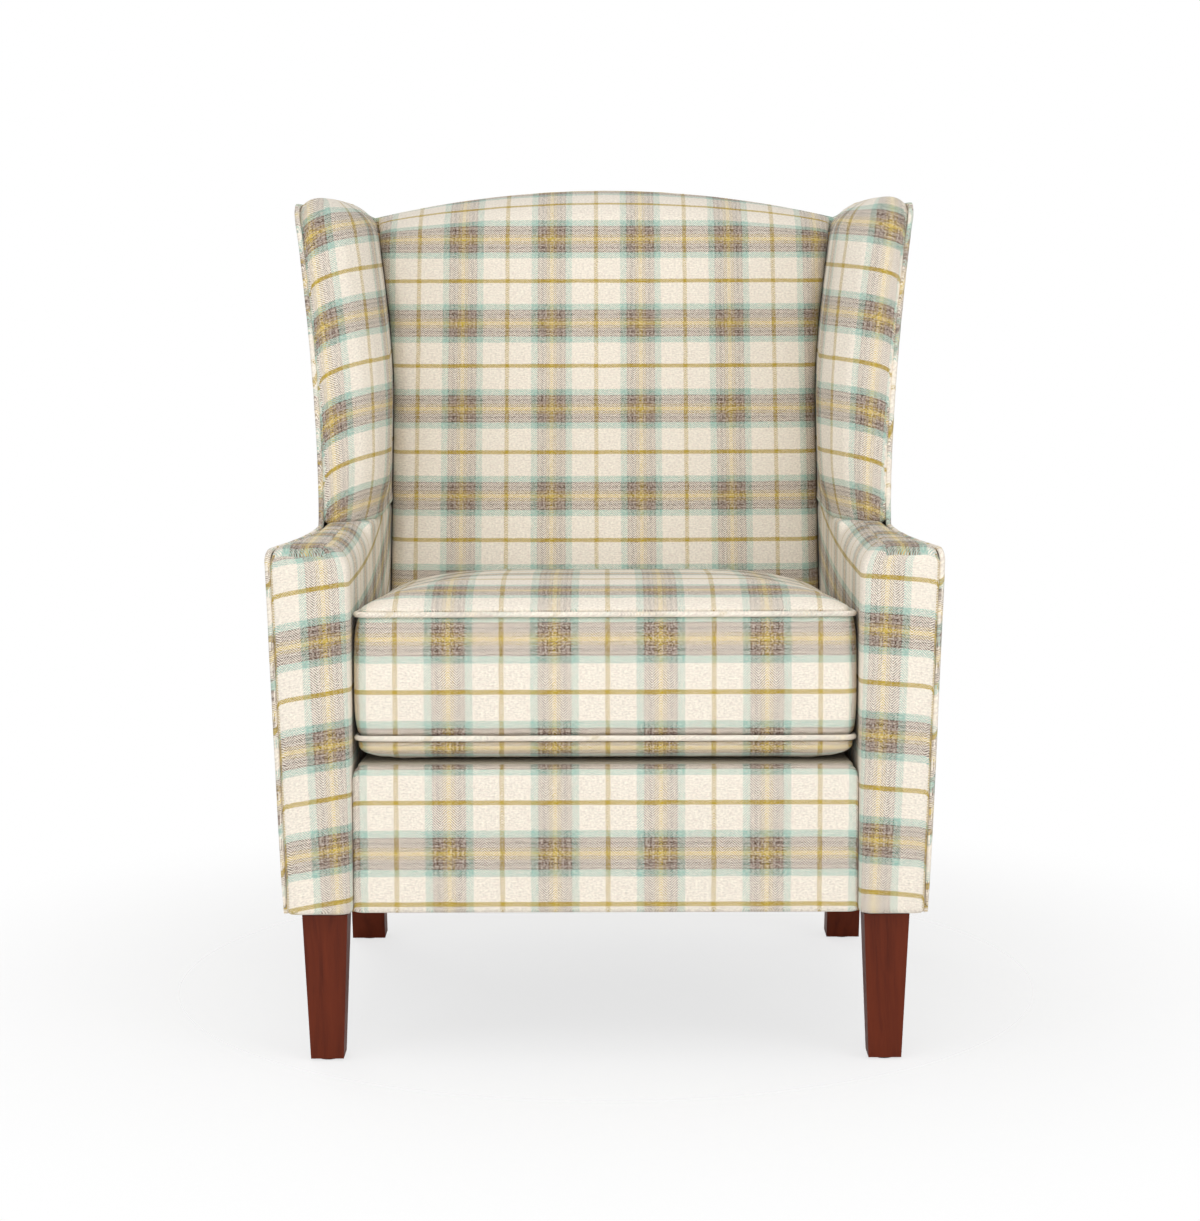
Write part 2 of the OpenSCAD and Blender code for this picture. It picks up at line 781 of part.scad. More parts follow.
function side_shape_x(y, z) = z < arm_h ? arm_out_x(y, z) : wing_out_x(z);
function side_piping_path() =
    let (in = piping_in, r0 = arm_corner - in, r1 = wing_corner - in, corner_z = wing_h - wing_corner)
    let (y1 = bend_y, z1 = arm_h - in + inner_bend_r)
    let (y2 = wing_line(corner_z) + in + r1, z2 = wing_h - in)
    let (flat = concat(
        [for (s = piping_straight_shares) [front_y + in, leg_h + s * (arm_h - arm_corner - leg_h)]],
        [for (k = [1:bend_steps])
            let (a = 90 * k / bend_steps)
            [front_y + arm_corner - r0 * cos(a), arm_h - arm_corner + r0 * sin(a)]],
        [for (y = arm_stations) [y, arm_h - in]],
        [for (k = [1:bend_steps])
            let (a = 90 * k / bend_steps)
            [y1 + inner_bend_r * sin(a), z1 - inner_bend_r * cos(a)]],
        [for (s = wing_run_shares)
            let (z = z1 + s * (corner_z - z1))
            [wing_front(z, in), z]],
        [for (k = [1:bend_steps])
            let (a = 90 * k / bend_steps)
            [wing_line(corner_z) + in + r1 * (1 - cos(a)), corner_z + r1 * sin(a)]],
        [for (s = top_run_shares) [y2 + s * (rear_y(z2) - y2), z2]]
    ))
    [for (q = flat) [side_shape_x(q[0], q[1]) - side_skin + piping_out, q[0], q[1]]];

module side_piping_right() {
    color("ivory") open_tube(side_piping_path(), piping_r, piping_sides);
}

// Outside panels
panel_front = front_y + panel_in;
panel_corner = arm_corner - panel_in;
panel_arc_angles = [0, 30, 60, 90];
step_y = wing_front(arm_h, panel_in);

function panel_ring(y, zt, shear) = [
    for (q = [[1, 0], [1, 1], [0, 1], [0, 0]])
        let (z = q[1] > 0 ? zt : leg_h, py = sheared(y, z, shear))
        [arm_out_x(py, z) - q[0] * panel_t, py, z]
];

module outside_arm_right() {
    top = arm_h - panel_in;
    rear_run = rear_y(arm_h) - step_y;
    color(cloth) loft(concat(
        [for (a = panel_arc_angles)
            panel_ring(panel_front + panel_corner * (1 - cos(a)), top - panel_corner * (1 - sin(a)), 0)],
        [for (y = arm_stations) panel_ring(y, top, 0)],
        [panel_ring(step_y, top, 0)],
        [for (s = [piece_step / rear_run, 0.5, 1]) panel_ring(step_y + s * rear_run, arm_h, s)]
    ));
}

function wing_panel_ring(z, y) = [
    for (q = [[1, 0], [0, 0], [0, 1], [1, 1]])
        [wing_out_x(z) - q[0] * panel_t, q[1] > 0 ? rear_y(z) : y, z]
];

module outside_wing_right() {
    low = arm_h + fit;
    corner_z = wing_h - wing_corner;
    r = wing_corner - panel_in;
    color(cloth) loft(concat(
        [for (s = wing_rise_shares)
            let (z = low + s * (corner_z - low))
            wing_panel_ring(z, wing_front(z, panel_in))],
        [for (k = [1:bend_steps])
            let (a = 90 * k / bend_steps)
            wing_panel_ring(corner_z + r * sin(a), wing_line(corner_z) + panel_in + r * (1 - cos(a)))]
    ));
}

outline_steps = 8;

module outside_back() {
    cos_lean = cos(back_lean);
    function up(z) = (z - leg_h + fit * sin(back_lean)) / cos_lean;
    inner_shares = [0.6, 0.75, 0.88, 0.96, 1];
    half = concat(
        [[arm_out_x(rear_y(leg_h), leg_h), 0], [side_x, up(arm_h)]],
        [for (k = [1:outline_steps])
            let (z = arm_h + k / outline_steps * (wing_h - edge_r - arm_h))
            [wing_out_x(z), up(z)]],
        [[wing_out_x(wing_h) - edge_r, up(wing_h)]],
        [for (k = [len(inner_shares) - 1:-1:0])
            let (s = inner_shares[k], z = wing_h - wing_roll_h + wing_roll_h * s, xc = wing_in_x(z))
            [xc + wing_roll_share * (1 - sqrt(1 - s * s)) * (wing_out_x(z) - skin - xc), up(z)]],
        [for (k = [outline_steps:-1:1])
            let (x = arch_x * k / outline_steps)
            [x, up(arch_z(x))]]
    );
    color(cloth) in_back() translate([0, skin, 0]) rotate([90, 0, 0]) linear_extrude(panel_t)
        polygon(concat(half, [[0, up(chair_h)]], [for (i = [len(half) - 1:-1:0]) [-half[i][0], half[i][1]]]));
}

// Black cloth stapled under the seat frame, cut back round the legs
module dust_cover() {
    half = frame_out - dust_edge;
    front = post_y + dust_edge;
    rear = rear_y(leg_h) - dust_edge;
    notch_x = leg_x - front_leg_top / 2 - dust_gap;
    front_notch = front_leg_y + front_leg_top / 2 + dust_gap;
    rear_notch = rear_leg_y - rear_leg_w / 2 - dust_gap;
    side = [[notch_x, front], [notch_x, front_notch], [half, front_notch],
            [half, rear_notch], [notch_x, rear_notch], [notch_x, rear]];
    color("dimgray") translate([0, 0, leg_h - dust_t]) linear_extrude(dust_t)
        polygon(concat(side, [for (i = [len(side) - 1:-1:0]) [-side[i][0], side[i][1]]]));
}

// Seat cushion, drawn lying on the deck: X across, Y back from its front, Z up from the deck
cushion_y = front_y + cushion_set;
cushion_rear_z = deck_z(front_y + seat_d) + belly_h;
cushion_d = (in_y(cushion_rear_z) - cushion_y - cushion_play) / cos(seat_rake);
corner_steps = 4;
side_steps = 7;
front_steps = 9;
corner_grow_share = 0.03;

function cushion_half(y) = arm_in_x(cushion_y + y) - cushion_gap;
function corner_points(cx, cy, r, from) = [
    for (k = [0:corner_steps]) let (a = from + 90 * k / corner_steps) [cx + r * cos(a), cy + r * sin(a)]
];
function straight(p, q, steps) = [for (k = [1:steps - 1]) p + (q - p) * k / steps];
function rounded_outline(inset) =
    let (w = seat_w / 2 - cushion_gap - inset, y0 = inset, y1 = cushion_d - inset)
    let (r = cushion_corner + inset * corner_grow_share, sw = w - r)
    concat(
        corner_points(-sw, y0 + r, r, 180),
        straight([-sw, y0], [sw, y0], front_steps),
        corner_points(sw, y0 + r, r, 270),
        straight([w, y0 + r], [w, y1 - r], side_steps),
        corner_points(sw, y1 - r, r, 0),
        straight([sw, y1], [-sw, y1], front_steps),
        corner_points(-sw, y1 - r, r, 90),
        straight([-w, y1 - r], [-w, y0 + r], side_steps)
    );
function drawn(q) =
    let (v = q[1] / cushion_d, u = q[0] / (seat_w / 2))
    [q[0] / (seat_w / 2 - cushion_gap) * (cushion_half(q[1]) - draw_in * pow(sin(180 * v), 2)),
     q[1] - draw_in * v * pow(cos(90 * u), 2)];
function cushion_ring(z, inset) = [for (q = rounded_outline(inset)) let (d = drawn(q)) [d[0], d[1], z]];

low_seam_z = belly_h;
high_seam_z = belly_h + boxing_h;
belly_shares = [[0, 1], [0.08, 0.55], [0.3, 0.22], [0.62, 0.06]];
belly_inset = 42;
crown_shares = [[0.16, 0.03], [0.4, 0.09], [0.62, 0.18], [0.8, 0.3], [0.92, 0.46], [0.98, 0.62], [1, 0.78]];
crown_inset = 230;
boxing_shares = [[0.12, 0.5], [0.35, 0], [0.65, 0], [0.88, 0.5]];
boxing_pull = 2;
seam_low = 4.5;
seam_flat = 2.5;

function seam_rings(z) = [
    [z - seam_low, seam_edge], [z - seam_flat, seam_dip], [z + seam_flat, seam_dip], [z + seam_low, seam_edge]
];
cushion_profile = concat(
    [for (q = belly_shares) [q[0] * belly_h, q[1] * belly_inset]],
    seam_rings(low_seam_z),
    [for (q = boxing_shares) [low_seam_z + q[0] * boxing_h, q[1] * boxing_pull]],
    seam_rings(high_seam_z),
    [for (q = crown_shares) [high_seam_z + q[0] * crown_h, q[1] * crown_inset]]
);

module on_seat() {
    translate([0, cushion_y, deck_z(cushion_y)]) rotate([-seat_rake, 0, 0]) children();
}

module cushion_core() {
    half = seat_w / 2 - foam_gap;
    block([-half, foam_gap, low_seam_z], [half, cushion_d - foam_gap, high_seam_z]);
}

zip_z = low_seam_z + boxing_h / 2;
zip_floor = cushion_d - draw_in - zip_recess_d;

module seat_cushion() {
    color(cloth) on_seat() difference() {
        loft([for (q = cushion_profile) cushion_ring(q[0], q[1])]);
        cushion_core();
        block([-zip_l / 2, zip_floor, zip_z - zip_recess_h / 2],
              [zip_l / 2, cushion_d + overrun, zip_z + zip_recess_h / 2]);
        block([-slit_l / 2, cushion_d - 2 * foam_gap, zip_z - slit_h / 2],
              [slit_l / 2, cushion_d, zip_z + slit_h / 2]);
    }
}

module cushion_foam() {
    color("khaki") on_seat() cushion_core();
}

module cushion_piping_at(z) {
    color("ivory") on_seat()
        loop_tube(cushion_ring(z, seam_dip - piping_r - fit), piping_r, piping_sides);
}

module cushion_top_piping() {
    cushion_piping_at(high_seam_z);
}

module cushion_bottom_piping() {
    cushion_piping_at(low_seam_z);
}

module zip_tape() {
    color("gray") on_seat()
        block([-zip_l / 2, zip_floor, zip_z - tape_h / 2],
              [zip_l / 2, zip_floor + tape_t, zip_z + tape_h / 2]);
}

// The slider stands at the closed end of the zip; its pull lies along the tape
module zip_slider() {
    base = zip_floor + tape_t + fit;
    start = -zip_l / 2 + slider_l;
    color(steel) on_seat() {
        block([start, base, zip_z - slider_h / 2], [start + slider_l, base + slider_t, zip_z + slider_h / 2]);
        block([start - pull_l, base + slider_t / 3, zip_z - slider_h / 4],
              [start, base + slider_t * 2 / 3, zip_z + slider_h / 4]);
    }
}

module front_leg_left() { left_of() front_leg_right(); }
module rear_leg_left() { left_of() rear_leg_right(); }
module side_rail_left() { left_of() side_rail_right(); }
module arm_post_left() { left_of() arm_post_right(); }
module arm_rail_left() { left_of() arm_rail_right(); }
module back_post_left() { left_of() back_post_right(); }
module wing_board_left() { left_of() wing_board_right(); }
module arm_left() { left_of() arm_right(); }
module wing_left() { left_of() wing_right(); }
module side_piping_left() { left_of() side_piping_right(); }
module outside_arm_left() { left_of() outside_arm_right(); }
module outside_wing_left() { left_of() outside_wing_right(); }

front_leg_left();
front_leg_right();
rear_leg_left();
rear_leg_right();
leg_glides();
leg_plates();
hanger_bolts();
front_rail();
rear_rail();
side_rail_left();
side_rail_right();
corner_blocks();
corner_screws();
arm_post_left();
arm_post_right();
arm_rail_left();
arm_rail_right();
back_post_left();
back_post_right();
crest_rail();
lower_back_rail();
wing_board_left();
wing_board_right();
seat_springs();
spring_clips();
seat_deck();
back_webbing();
back_foam();
front_rail_cover();
inside_back();
arm_left();
arm_right();
wing_left();
wing_right();
side_piping_left();
side_piping_right();
outside_arm_left();
outside_arm_right();
outside_wing_left();
outside_wing_right();
outside_back();
dust_cover();
seat_cushion();
cushion_foam();
cushion_top_piping();
cushion_bottom_piping();
zip_tape();
zip_slider();
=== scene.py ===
import math

import bmesh
import bpy
import numpy as np
from mathutils import Matrix, Vector


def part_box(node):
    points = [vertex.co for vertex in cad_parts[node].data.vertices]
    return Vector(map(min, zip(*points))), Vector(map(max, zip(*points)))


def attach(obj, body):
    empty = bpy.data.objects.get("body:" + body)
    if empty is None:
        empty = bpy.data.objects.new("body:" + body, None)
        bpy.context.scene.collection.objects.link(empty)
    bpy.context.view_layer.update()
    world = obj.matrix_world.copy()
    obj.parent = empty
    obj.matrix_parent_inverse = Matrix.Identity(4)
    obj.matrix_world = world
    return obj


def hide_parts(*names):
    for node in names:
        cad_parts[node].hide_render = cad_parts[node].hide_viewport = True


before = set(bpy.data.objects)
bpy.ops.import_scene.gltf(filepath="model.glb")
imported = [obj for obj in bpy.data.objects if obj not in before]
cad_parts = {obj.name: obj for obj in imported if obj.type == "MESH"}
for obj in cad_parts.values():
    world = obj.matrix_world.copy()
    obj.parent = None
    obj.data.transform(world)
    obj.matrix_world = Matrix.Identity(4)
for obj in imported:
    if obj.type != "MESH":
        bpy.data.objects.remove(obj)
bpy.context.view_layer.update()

bl_info = {
    "name": "Fireside chair upholstery",
    "version": (1, 0, 0),
    "blender": (4, 5, 0),
    "location": "3D View > Sidebar > Fireside Chair",
    "description": "Upholsters the fireside chair, finishes its timber and metal, and sets up the studio",
    "category": "Add Mesh",
}


# Colours and sizes


def linear(red, green, blue):
    """A colour written as 0 to 255 for the screen, as the shaders read it."""
    shares = (red / 255, green / 255, blue / 255)
    return tuple(c / 12.92 if c <= 0.04045 else ((c + 0.055) / 1.055) ** 2.4 for c in shares)


def tinted(colour, share):
    """A darker or lighter tint of a colour."""
    return tuple(min(1, c * share) for c in colour)


def colour_property(name, description, value):
    return bpy.props.FloatVectorProperty(
        name=name, description=description, subtype="COLOR", size=3, min=0, max=1, default=value
    )


def number_property(name, description, value, **kind):
    return bpy.props.FloatProperty(name=name, description=description, default=value, **kind)


class ClothSettings(bpy.types.PropertyGroup):
    threads: bpy.props.IntProperty(name="Threads", description="Threads in one repeat", default=132, min=24)
    weft_cover: number_property("Weft cover", "Share where the weft lies over the warp", 0.6, subtype="FACTOR")
    cream: colour_property("Cream", "Ground of the plaid", linear(241, 234, 219))
    fleck: colour_property("Fleck", "Linen flecks in the ground", linear(214, 192, 184))
    brown: colour_property("Brown", "Wide bands of the plaid", (0.094, 0.043, 0.016))
    dark: colour_property("Dark brown", "Pinstripes in the wide bands", (0.032, 0.018, 0.012))
    teal: colour_property("Teal", "Edges of the wide bands", (0.3, 0.52, 0.44))
    yellow: colour_property("Yellow", "Middle of the wide bands", (0.56, 0.4, 0.03))
    gold: colour_property("Gold", "Lone line between the wide bands", (0.45, 0.31, 0.008))


class TimberSettings(bpy.types.PropertyGroup):
    stain: colour_property("Stain", "Red-brown stain of the legs", linear(98, 38, 17))
    stain_dark: colour_property("Dark grain", "Grain and pores of the stained wood", linear(74, 25, 11))
    beech: colour_property("Frame timber", "Plain timber inside the upholstery", linear(196, 160, 116))


class PaddingSettings(bpy.types.PropertyGroup):
    voxel: number_property("Cloth grain", "Size of the faces of a padded piece", 0.0045, unit="LENGTH")
    pressure: number_property("Fill pressure", "How hard the filling swells the seat cushion", 4.0)
    swell_cap: number_property("Swell limit", "Farthest that the cushion's cloth may move", 0.004, unit="LENGTH")
    pucker: number_property("Pucker", "Height of the small puckers along seams", 0.0007, unit="LENGTH")


class StudioSettings(bpy.types.PropertyGroup):
    floor: colour_property("Floor", "Pale floor of the studio", (0.93, 0.93, 0.93))
    lamp: number_property("Lamp power", "Power of the lamps, of which each has its own share", 50.0, unit="POWER")
    camera_height: number_property("Camera height", "Height of the camera above the floor", 0.924, unit="LENGTH")
    camera_distance: number_property("Camera distance", "How far in front of the chair's middle", 3.605, unit="LENGTH")
    tilt: number_property("Tilt", "How far the camera looks down", math.radians(7.07), subtype="ANGLE")
    roll: number_property("Roll", "How far the camera leans to one side", math.radians(-0.15), unit="ROTATION")


def settings(group):
    return getattr(bpy.context.scene, "chair_" + group)


def configure(item, **values):
    for key, value in values.items():
        setattr(item, key, value)


# Meshes

SMOOTHING_STEPS = (0.5, -0.52)
CLOTH_MAP = "Weave"
JOIN_DISTANCE = 1e-5
SHARP_ANGLE = math.radians(40)


def copied_solid(node):
    """A bmesh of a CAD node, whose triangles share their points."""
    bm = bmesh.new()
    bm.from_mesh(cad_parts[node].data)
    bmesh.ops.remove_doubles(bm, verts=bm.verts, dist=JOIN_DISTANCE)
    return bm


def flat_solid(node):
    """A bmesh of a CAD node, with the triangles of each flat face joined."""
    bm = copied_solid(node)
    bmesh.ops.dissolve_limit(bm, angle_limit=math.radians(0.5), verts=bm.verts, edges=bm.edges)
    return bm


def softened_edges(bm, edges, width, segments, clamp=False):
    bmesh.ops.bevel(
        bm, geom=edges, offset=width, affect="EDGES", segments=segments, profile=0.5, material=-1, clamp_overlap=clamp
    )


def placed_in_seat(bm):
    """Moves a bmesh from the seat cushion's own place to the chair's."""
    bmesh.ops.rotate(bm, cent=(0, 0, 0), matrix=Matrix.Rotation(-RAKE, 3, "X"), verts=bm.verts)
    bmesh.ops.translate(bm, vec=(0, CUSHION_Y, CUSHION_Z), verts=bm.verts)


def new_mesh(name, bm):
    mesh = bpy.data.meshes.new(name)
    bm.to_mesh(mesh)
    bm.free()
    return mesh


def shade(mesh, smooth):
    mesh.polygons.foreach_set("use_smooth", [smooth] * len(mesh.polygons))


def new_object(name, data):
    item = bpy.data.objects.new(name, data)
    bpy.context.scene.collection.objects.link(item)
    return item


def place_piece(name, bm, body, material, nodes=(), smooth=True):
    """Makes a bmesh a piece of the chair, which rides on a body and stands for the given nodes."""
    mesh = new_mesh(name, bm)
    piece = new_object(name, mesh)
    mesh.materials.append(bpy.data.materials[material])
    shade(mesh, smooth)
    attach(piece, body)
    if nodes:
        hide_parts(*nodes)
    return piece


def modify(piece, name, kind, **values):
    configure(piece.modifiers.new(name, kind), **values)


def baked(piece):
    """Applies the piece's modifiers to its mesh, and keeps its materials."""
    bpy.context.view_layer.update()
    depsgraph = bpy.context.evaluated_depsgraph_get()
    result = bpy.data.meshes.new_from_object(piece.evaluated_get(depsgraph))
    bm = bmesh.new()
    bm.from_mesh(result)
    bpy.data.meshes.remove(result)
    piece.modifiers.clear()
    bm.to_mesh(piece.data)
    bm.free()
    shade(piece.data, True)


def values_of(items, key, width=1, kind=float):
    """One property of all items of a mesh, as an array."""
    values = np.zeros(len(items) * width, kind)
    items.foreach_get(key, values)
    return values.reshape(-1, width) if width > 1 else values


def points_of(piece):
    return values_of(piece.data.vertices, "co", 3)


def set_points(piece, co):
    piece.data.vertices.foreach_set("co", co.reshape(-1))
    piece.data.update()


def normals_of(piece):
    return values_of(piece.data.vertex_normals, "vector", 3)


def relax(piece, rounds):
    """Smooths the mesh; every second step grows it back, so that it doesn't shrink."""
    a, b = values_of(piece.data.edges, "vertices", 2, int).T
    co = points_of(piece)
    count = len(co)
    degree = np.maximum(np.bincount(np.concatenate([a, b]), minlength=count), 1)
    for _ in range(rounds):
        for step in SMOOTHING_STEPS:
            sums = [np.bincount(a, co[b, k], count) + np.bincount(b, co[a, k], count) for k in range(3)]
            mean = np.stack([total / degree for total in sums], axis=1)
            co = co + step * (mean - co)
    set_points(piece, co)


def voxelled(piece, size):
    """Gives the piece even faces of one size."""
    modify(piece, "Even faces", "REMESH", mode="VOXEL", voxel_size=size)
    baked(piece)


def subdivided(piece, levels):
    """Splits the piece's faces and rounds them."""
    modify(piece, "Round", "SUBSURF", levels=levels, render_levels=levels)
    baked(piece)


def ripples(x, seed, waves=4):
    """Smooth irregular waves between about -1 and 1 along x, the same on every run."""
    dice = np.random.default_rng(seed)
    total = np.zeros_like(x)
    for _ in range(waves):
        total += np.sin(x * dice.uniform(0.6, 1.7) + dice.uniform(0, 6.28)) * dice.uniform(0.4, 1)
    return total / waves ** 0.5 / 0.75


def lay_cloth(piece, mapping):
    """Writes the cloth's own map, from each corner's point and its face's middle and normal."""
    mesh = piece.data
    corners = values_of(mesh.loops, "vertex_index", kind=int)
    totals = values_of(mesh.polygons, "loop_total", kind=int)
    owner = np.repeat(np.arange(len(totals)), totals)
    middles, facing = values_of(mesh.polygons, "center", 3), values_of(mesh.polygons, "normal", 3)
    uv = mapping(points_of(piece)[corners], middles[owner], facing[owner])
    while mesh.uv_layers:
        mesh.uv_layers.remove(mesh.uv_layers[0])
    layer = mesh.uv_layers.new(name=CLOTH_MAP)
    layer.data.foreach_set("uv", np.stack(uv, axis=1).reshape(-1))
    return piece


# Nodes of the shaders


class Wiring:
    """Adds nodes to a new material or world, and joins them."""

    def __init__(self, owner):
        owner.use_nodes = True
        self.nodes, self.links = owner.node_tree.nodes, owner.node_tree.links

    def feed(self, socket, value):
        """Joins an output to a socket, or sets the socket to a number, vector or colour."""
        if isinstance(value, bpy.types.NodeSocket):
            self.links.new(value, socket)
        elif isinstance(value, tuple) and socket.type == "RGBA":
            socket.default_value = (*value, 1)
        else:
            socket.default_value = value

    def node(self, kind, inputs=None, **properties):
        node = self.nodes.new("ShaderNode" + kind)
        configure(node, **properties)
        for key, value in (inputs or {}).items():
            self.feed(node.inputs[key], value)
        return node

    def math(self, operation, *values, clamp=False):
        return self.node("Math", dict(enumerate(values)), operation=operation, use_clamp=clamp).outputs[0]

    def mix(self, factor, a, b, blend="MIX"):
        node = self.node("Mix", {0: factor}, data_type="RGBA", blend_type=blend)
        for socket, value in zip([s for s in node.inputs if s.type == "RGBA"], (a, b)):
            self.feed(socket, value)
        return next(s for s in node.outputs if s.type == "RGBA")

    def noise(self, vector, scale, detail=2.0, roughness=0.5):
        inputs = {"Vector": vector, "Scale": scale, "Detail": detail, "Roughness": roughness}
        return self.node("TexNoise", inputs).outputs["Fac"]

    def scaled(self, vector, scale, location=(0, 0, 0)):
        return self.node("Mapping", {"Vector": vector, "Scale": scale, "Location": location}).outputs["Vector"]

    def object_point(self):
        return self.node("TexCoord").outputs["Object"]

    def cover(self, output, share, below, above):
        """Ends the wiring: the node above covers a share of the node below."""
        mix = self.node("MixShader", {0: share, 1: below.outputs[0], 2: above.outputs[0]})
        self.feed(self.nodes[output].inputs["Surface"], mix.outputs[0])

    def ramp(self, factor, stops):
        node = self.node("ValToRGB", {"Fac": factor})
        elements = node.color_ramp.elements
        while len(elements) > 1:
            elements.remove(elements[-1])
        elements[0].position, elements[0].color = stops[0][0], (*stops[0][1], 1)
        for position, value in stops[1:]:
            elements.new(position).color = (*value, 1)
        return node.outputs["Color"]


class Material(Wiring):
    """A new material and its shader."""

    def __init__(self, name):
        self.material = bpy.data.materials.new(name)
        super().__init__(self.material)
        self.shader = self.nodes["Principled BSDF"]

    def set(self, values):
        for key, value in values.items():
            self.feed(self.shader.inputs[key], value)

    def bump(self, height, strength, distance):
        bump = self.node("Bump", {"Strength": strength, "Distance": distance, "Height": height})
        self.set({"Normal": bump.outputs["Normal"]})


# Finishes

HALF = 0.5  # The plaid is mirrored at half a repeat
GOLD_WIDTH = 0.0205
FLECK_SHARE, SPECK_SHARE = 0.45, 0.28
TWILL_TURN, TWILL_STEP = 11.0, 3.3  # Threads between the turns of the herringbone, and from one rib to the next


def plaid_stops(cloth, pale):
    """Colour of the yarns across half a repeat, from a gold line to the middle of a wide band."""
    cream, brown, dark = tuple(cloth.cream), tuple(cloth.brown), tuple(cloth.dark)
    teal, yellow, gold = tuple(cloth.teal), tuple(cloth.yellow), tuple(cloth.gold)
    taupe = tuple(0.66 * b + 0.34 * c for b, c in zip(brown, cream))
    ochre = tuple(0.5 * b + 0.5 * c for b, c in zip(brown, yellow))
    half = [
        (0.0, gold), (0.020, gold), (0.026, cream), (0.268, cream), (0.276, teal), (0.338, teal), (0.345, dark),
        (0.354, brown), (0.372, taupe), (0.386, brown), (0.4, dark), (0.41, brown), (0.424, taupe),
        (0.436, brown), (0.452, ochre), (0.464, ochre), (0.47, brown), (0.477, ochre), (0.483, yellow),
    ]
    return [(p, tuple(pale * c + (1 - pale) * v for c, v in zip(cream, value))) for p, value in half]


def plaid_cloth(name, pale=0.0):
    """The woven plaid, in a herringbone twill; pale is the share of cream mixed into all its yarns."""
    cloth = settings("cloth")
    cream, fleck, gold, threads = tuple(cloth.cream), tuple(cloth.fleck), tuple(cloth.gold), cloth.threads
    m = Material(name)
    point = m.node("UVMap", uv_map=CLOTH_MAP).outputs["UV"]
    drift = m.noise(m.scaled(point, (1.3, 1.3, 1)), 3.0)
    split = m.node("SeparateXYZ", {0: point})
    sway = m.math("MULTIPLY_ADD", drift, 0.012, -0.006)
    across, along = [m.math("ADD", split.outputs[axis], sway) for axis in "XY"]
    # Uneven yarn: long flecks that run with the warp and with the weft
    yarns = []
    for way, scale, shift in ((across, (threads, 9, 1), (0, 0, 0)), (along, (9, threads, 1), (7, 3, 0))):
        yarn = m.ramp(m.math("PINGPONG", way, HALF), plaid_stops(cloth, pale))
        slubs = m.noise(m.scaled(point, scale, shift), 1.0, 2.0, 0.6)
        flecks = m.math("MULTIPLY_ADD", slubs, 4.2, -1.75, clamp=True)
        yarns.append(m.mix(flecks, yarn, m.mix(FLECK_SHARE, yarn, fleck)))
    # Herringbone twill: the diagonal turns back every few threads
    turn = m.math("PINGPONG", m.math("MULTIPLY", across, threads), TWILL_TURN)
    step = m.math("ADD", turn, m.math("MULTIPLY", along, threads))
    phase = m.math("FRACT", m.math("DIVIDE", step, TWILL_STEP))
    over = m.math("LESS_THAN", phase, cloth.weft_cover)
    speckle = m.noise(m.scaled(point, (threads / 1.6, threads / 1.6, 1)), 1.0, 1.0)
    cover = m.math("ADD", over, m.math("MULTIPLY_ADD", speckle, 2.2, -1.1), clamp=True)
    woven = m.mix(cover, *yarns)
    # Pale fibre in the dark yarns shows as fine specks
    grains = m.noise(m.scaled(point, (threads / 2.9, threads / 2.2, 1), (3, 9, 0)), 1.0, 0.0)
    specks = m.math("MULTIPLY_ADD", grains, 7.0, -3.4, clamp=True)
    woven = m.mix(m.math("MULTIPLY", specks, SPECK_SHARE), woven, cream)
    # The gold lines are thicker yarn, and partly cover what they cross
    for way, share in ((across, 0.08), (along, 0.4)):
        line = m.math("LESS_THAN", m.math("PINGPONG", way, HALF), GOLD_WIDTH)
        woven = m.mix(m.math("MULTIPLY", line, share * (1 - pale)), woven, gold)
    # Knots in the yarn, and a slow mottle over the whole cloth
    mottle = m.noise(m.object_point(), 9.0, 3.0)
    knots = m.noise(m.scaled(point, (threads / 3.5, threads / 2.2, 1), (5, 2, 0)), 1.0, 1.0)
    pits = m.math("MULTIPLY_ADD", knots, 0.56, 0.725)
    shade = m.math("MULTIPLY", pits, m.math("MULTIPLY_ADD", mottle, 0.09, 0.955))
    grey = m.node("CombineColor", {0: shade, 1: shade, 2: shade})
    m.set({
        "Base Color": m.mix(1.0, woven, grey.outputs[0], "MULTIPLY"),
        "Roughness": 0.92, "Specular IOR Level": 0.18, "Sheen Weight": 0.12, "Sheen Roughness": 0.5,
    })
    m.bump(m.math("ADD", m.math("PINGPONG", phase, HALF), speckle), 0.35, 0.0004)


def stained_wood(name):
    """Mahogany-stained wood, with long grain and a satin lacquer."""
    timber = settings("timber")
    stain, dark = tuple(timber.stain), tuple(timber.stain_dark)
    m = Material(name)
    point = m.object_point()
    warp = m.noise(m.scaled(point, (6, 6, 1.6)), 2.0, 3.0).node.outputs["Color"]
    bent = m.node("VectorMath", {0: warp, 1: (0.05, 0.05, 0.05), 2: point}, operation="MULTIPLY_ADD")
    grain = m.noise(m.scaled(bent.outputs[0], (110, 110, 5)), 1.0, 4.0, 0.6)
    pores = m.noise(m.scaled(point, (900, 900, 26)), 1.0, 2.0, 0.6)
    base = m.ramp(grain, [(0.22, dark), (0.5, stain), (0.8, tinted(stain, 1.25))])
    pitted = m.math("MULTIPLY_ADD", pores, -3.0, 1.5, clamp=True)
    m.set({
        "Base Color": m.mix(m.math("MULTIPLY", pitted, 0.3), base, dark),
        "Roughness": m.math("MULTIPLY_ADD", grain, 0.2, 0.28),
        "Specular IOR Level": 0.16, "Coat Weight": 0.02, "Coat Roughness": 0.25,
    })
    m.bump(grain, 0.12, 0.0004)


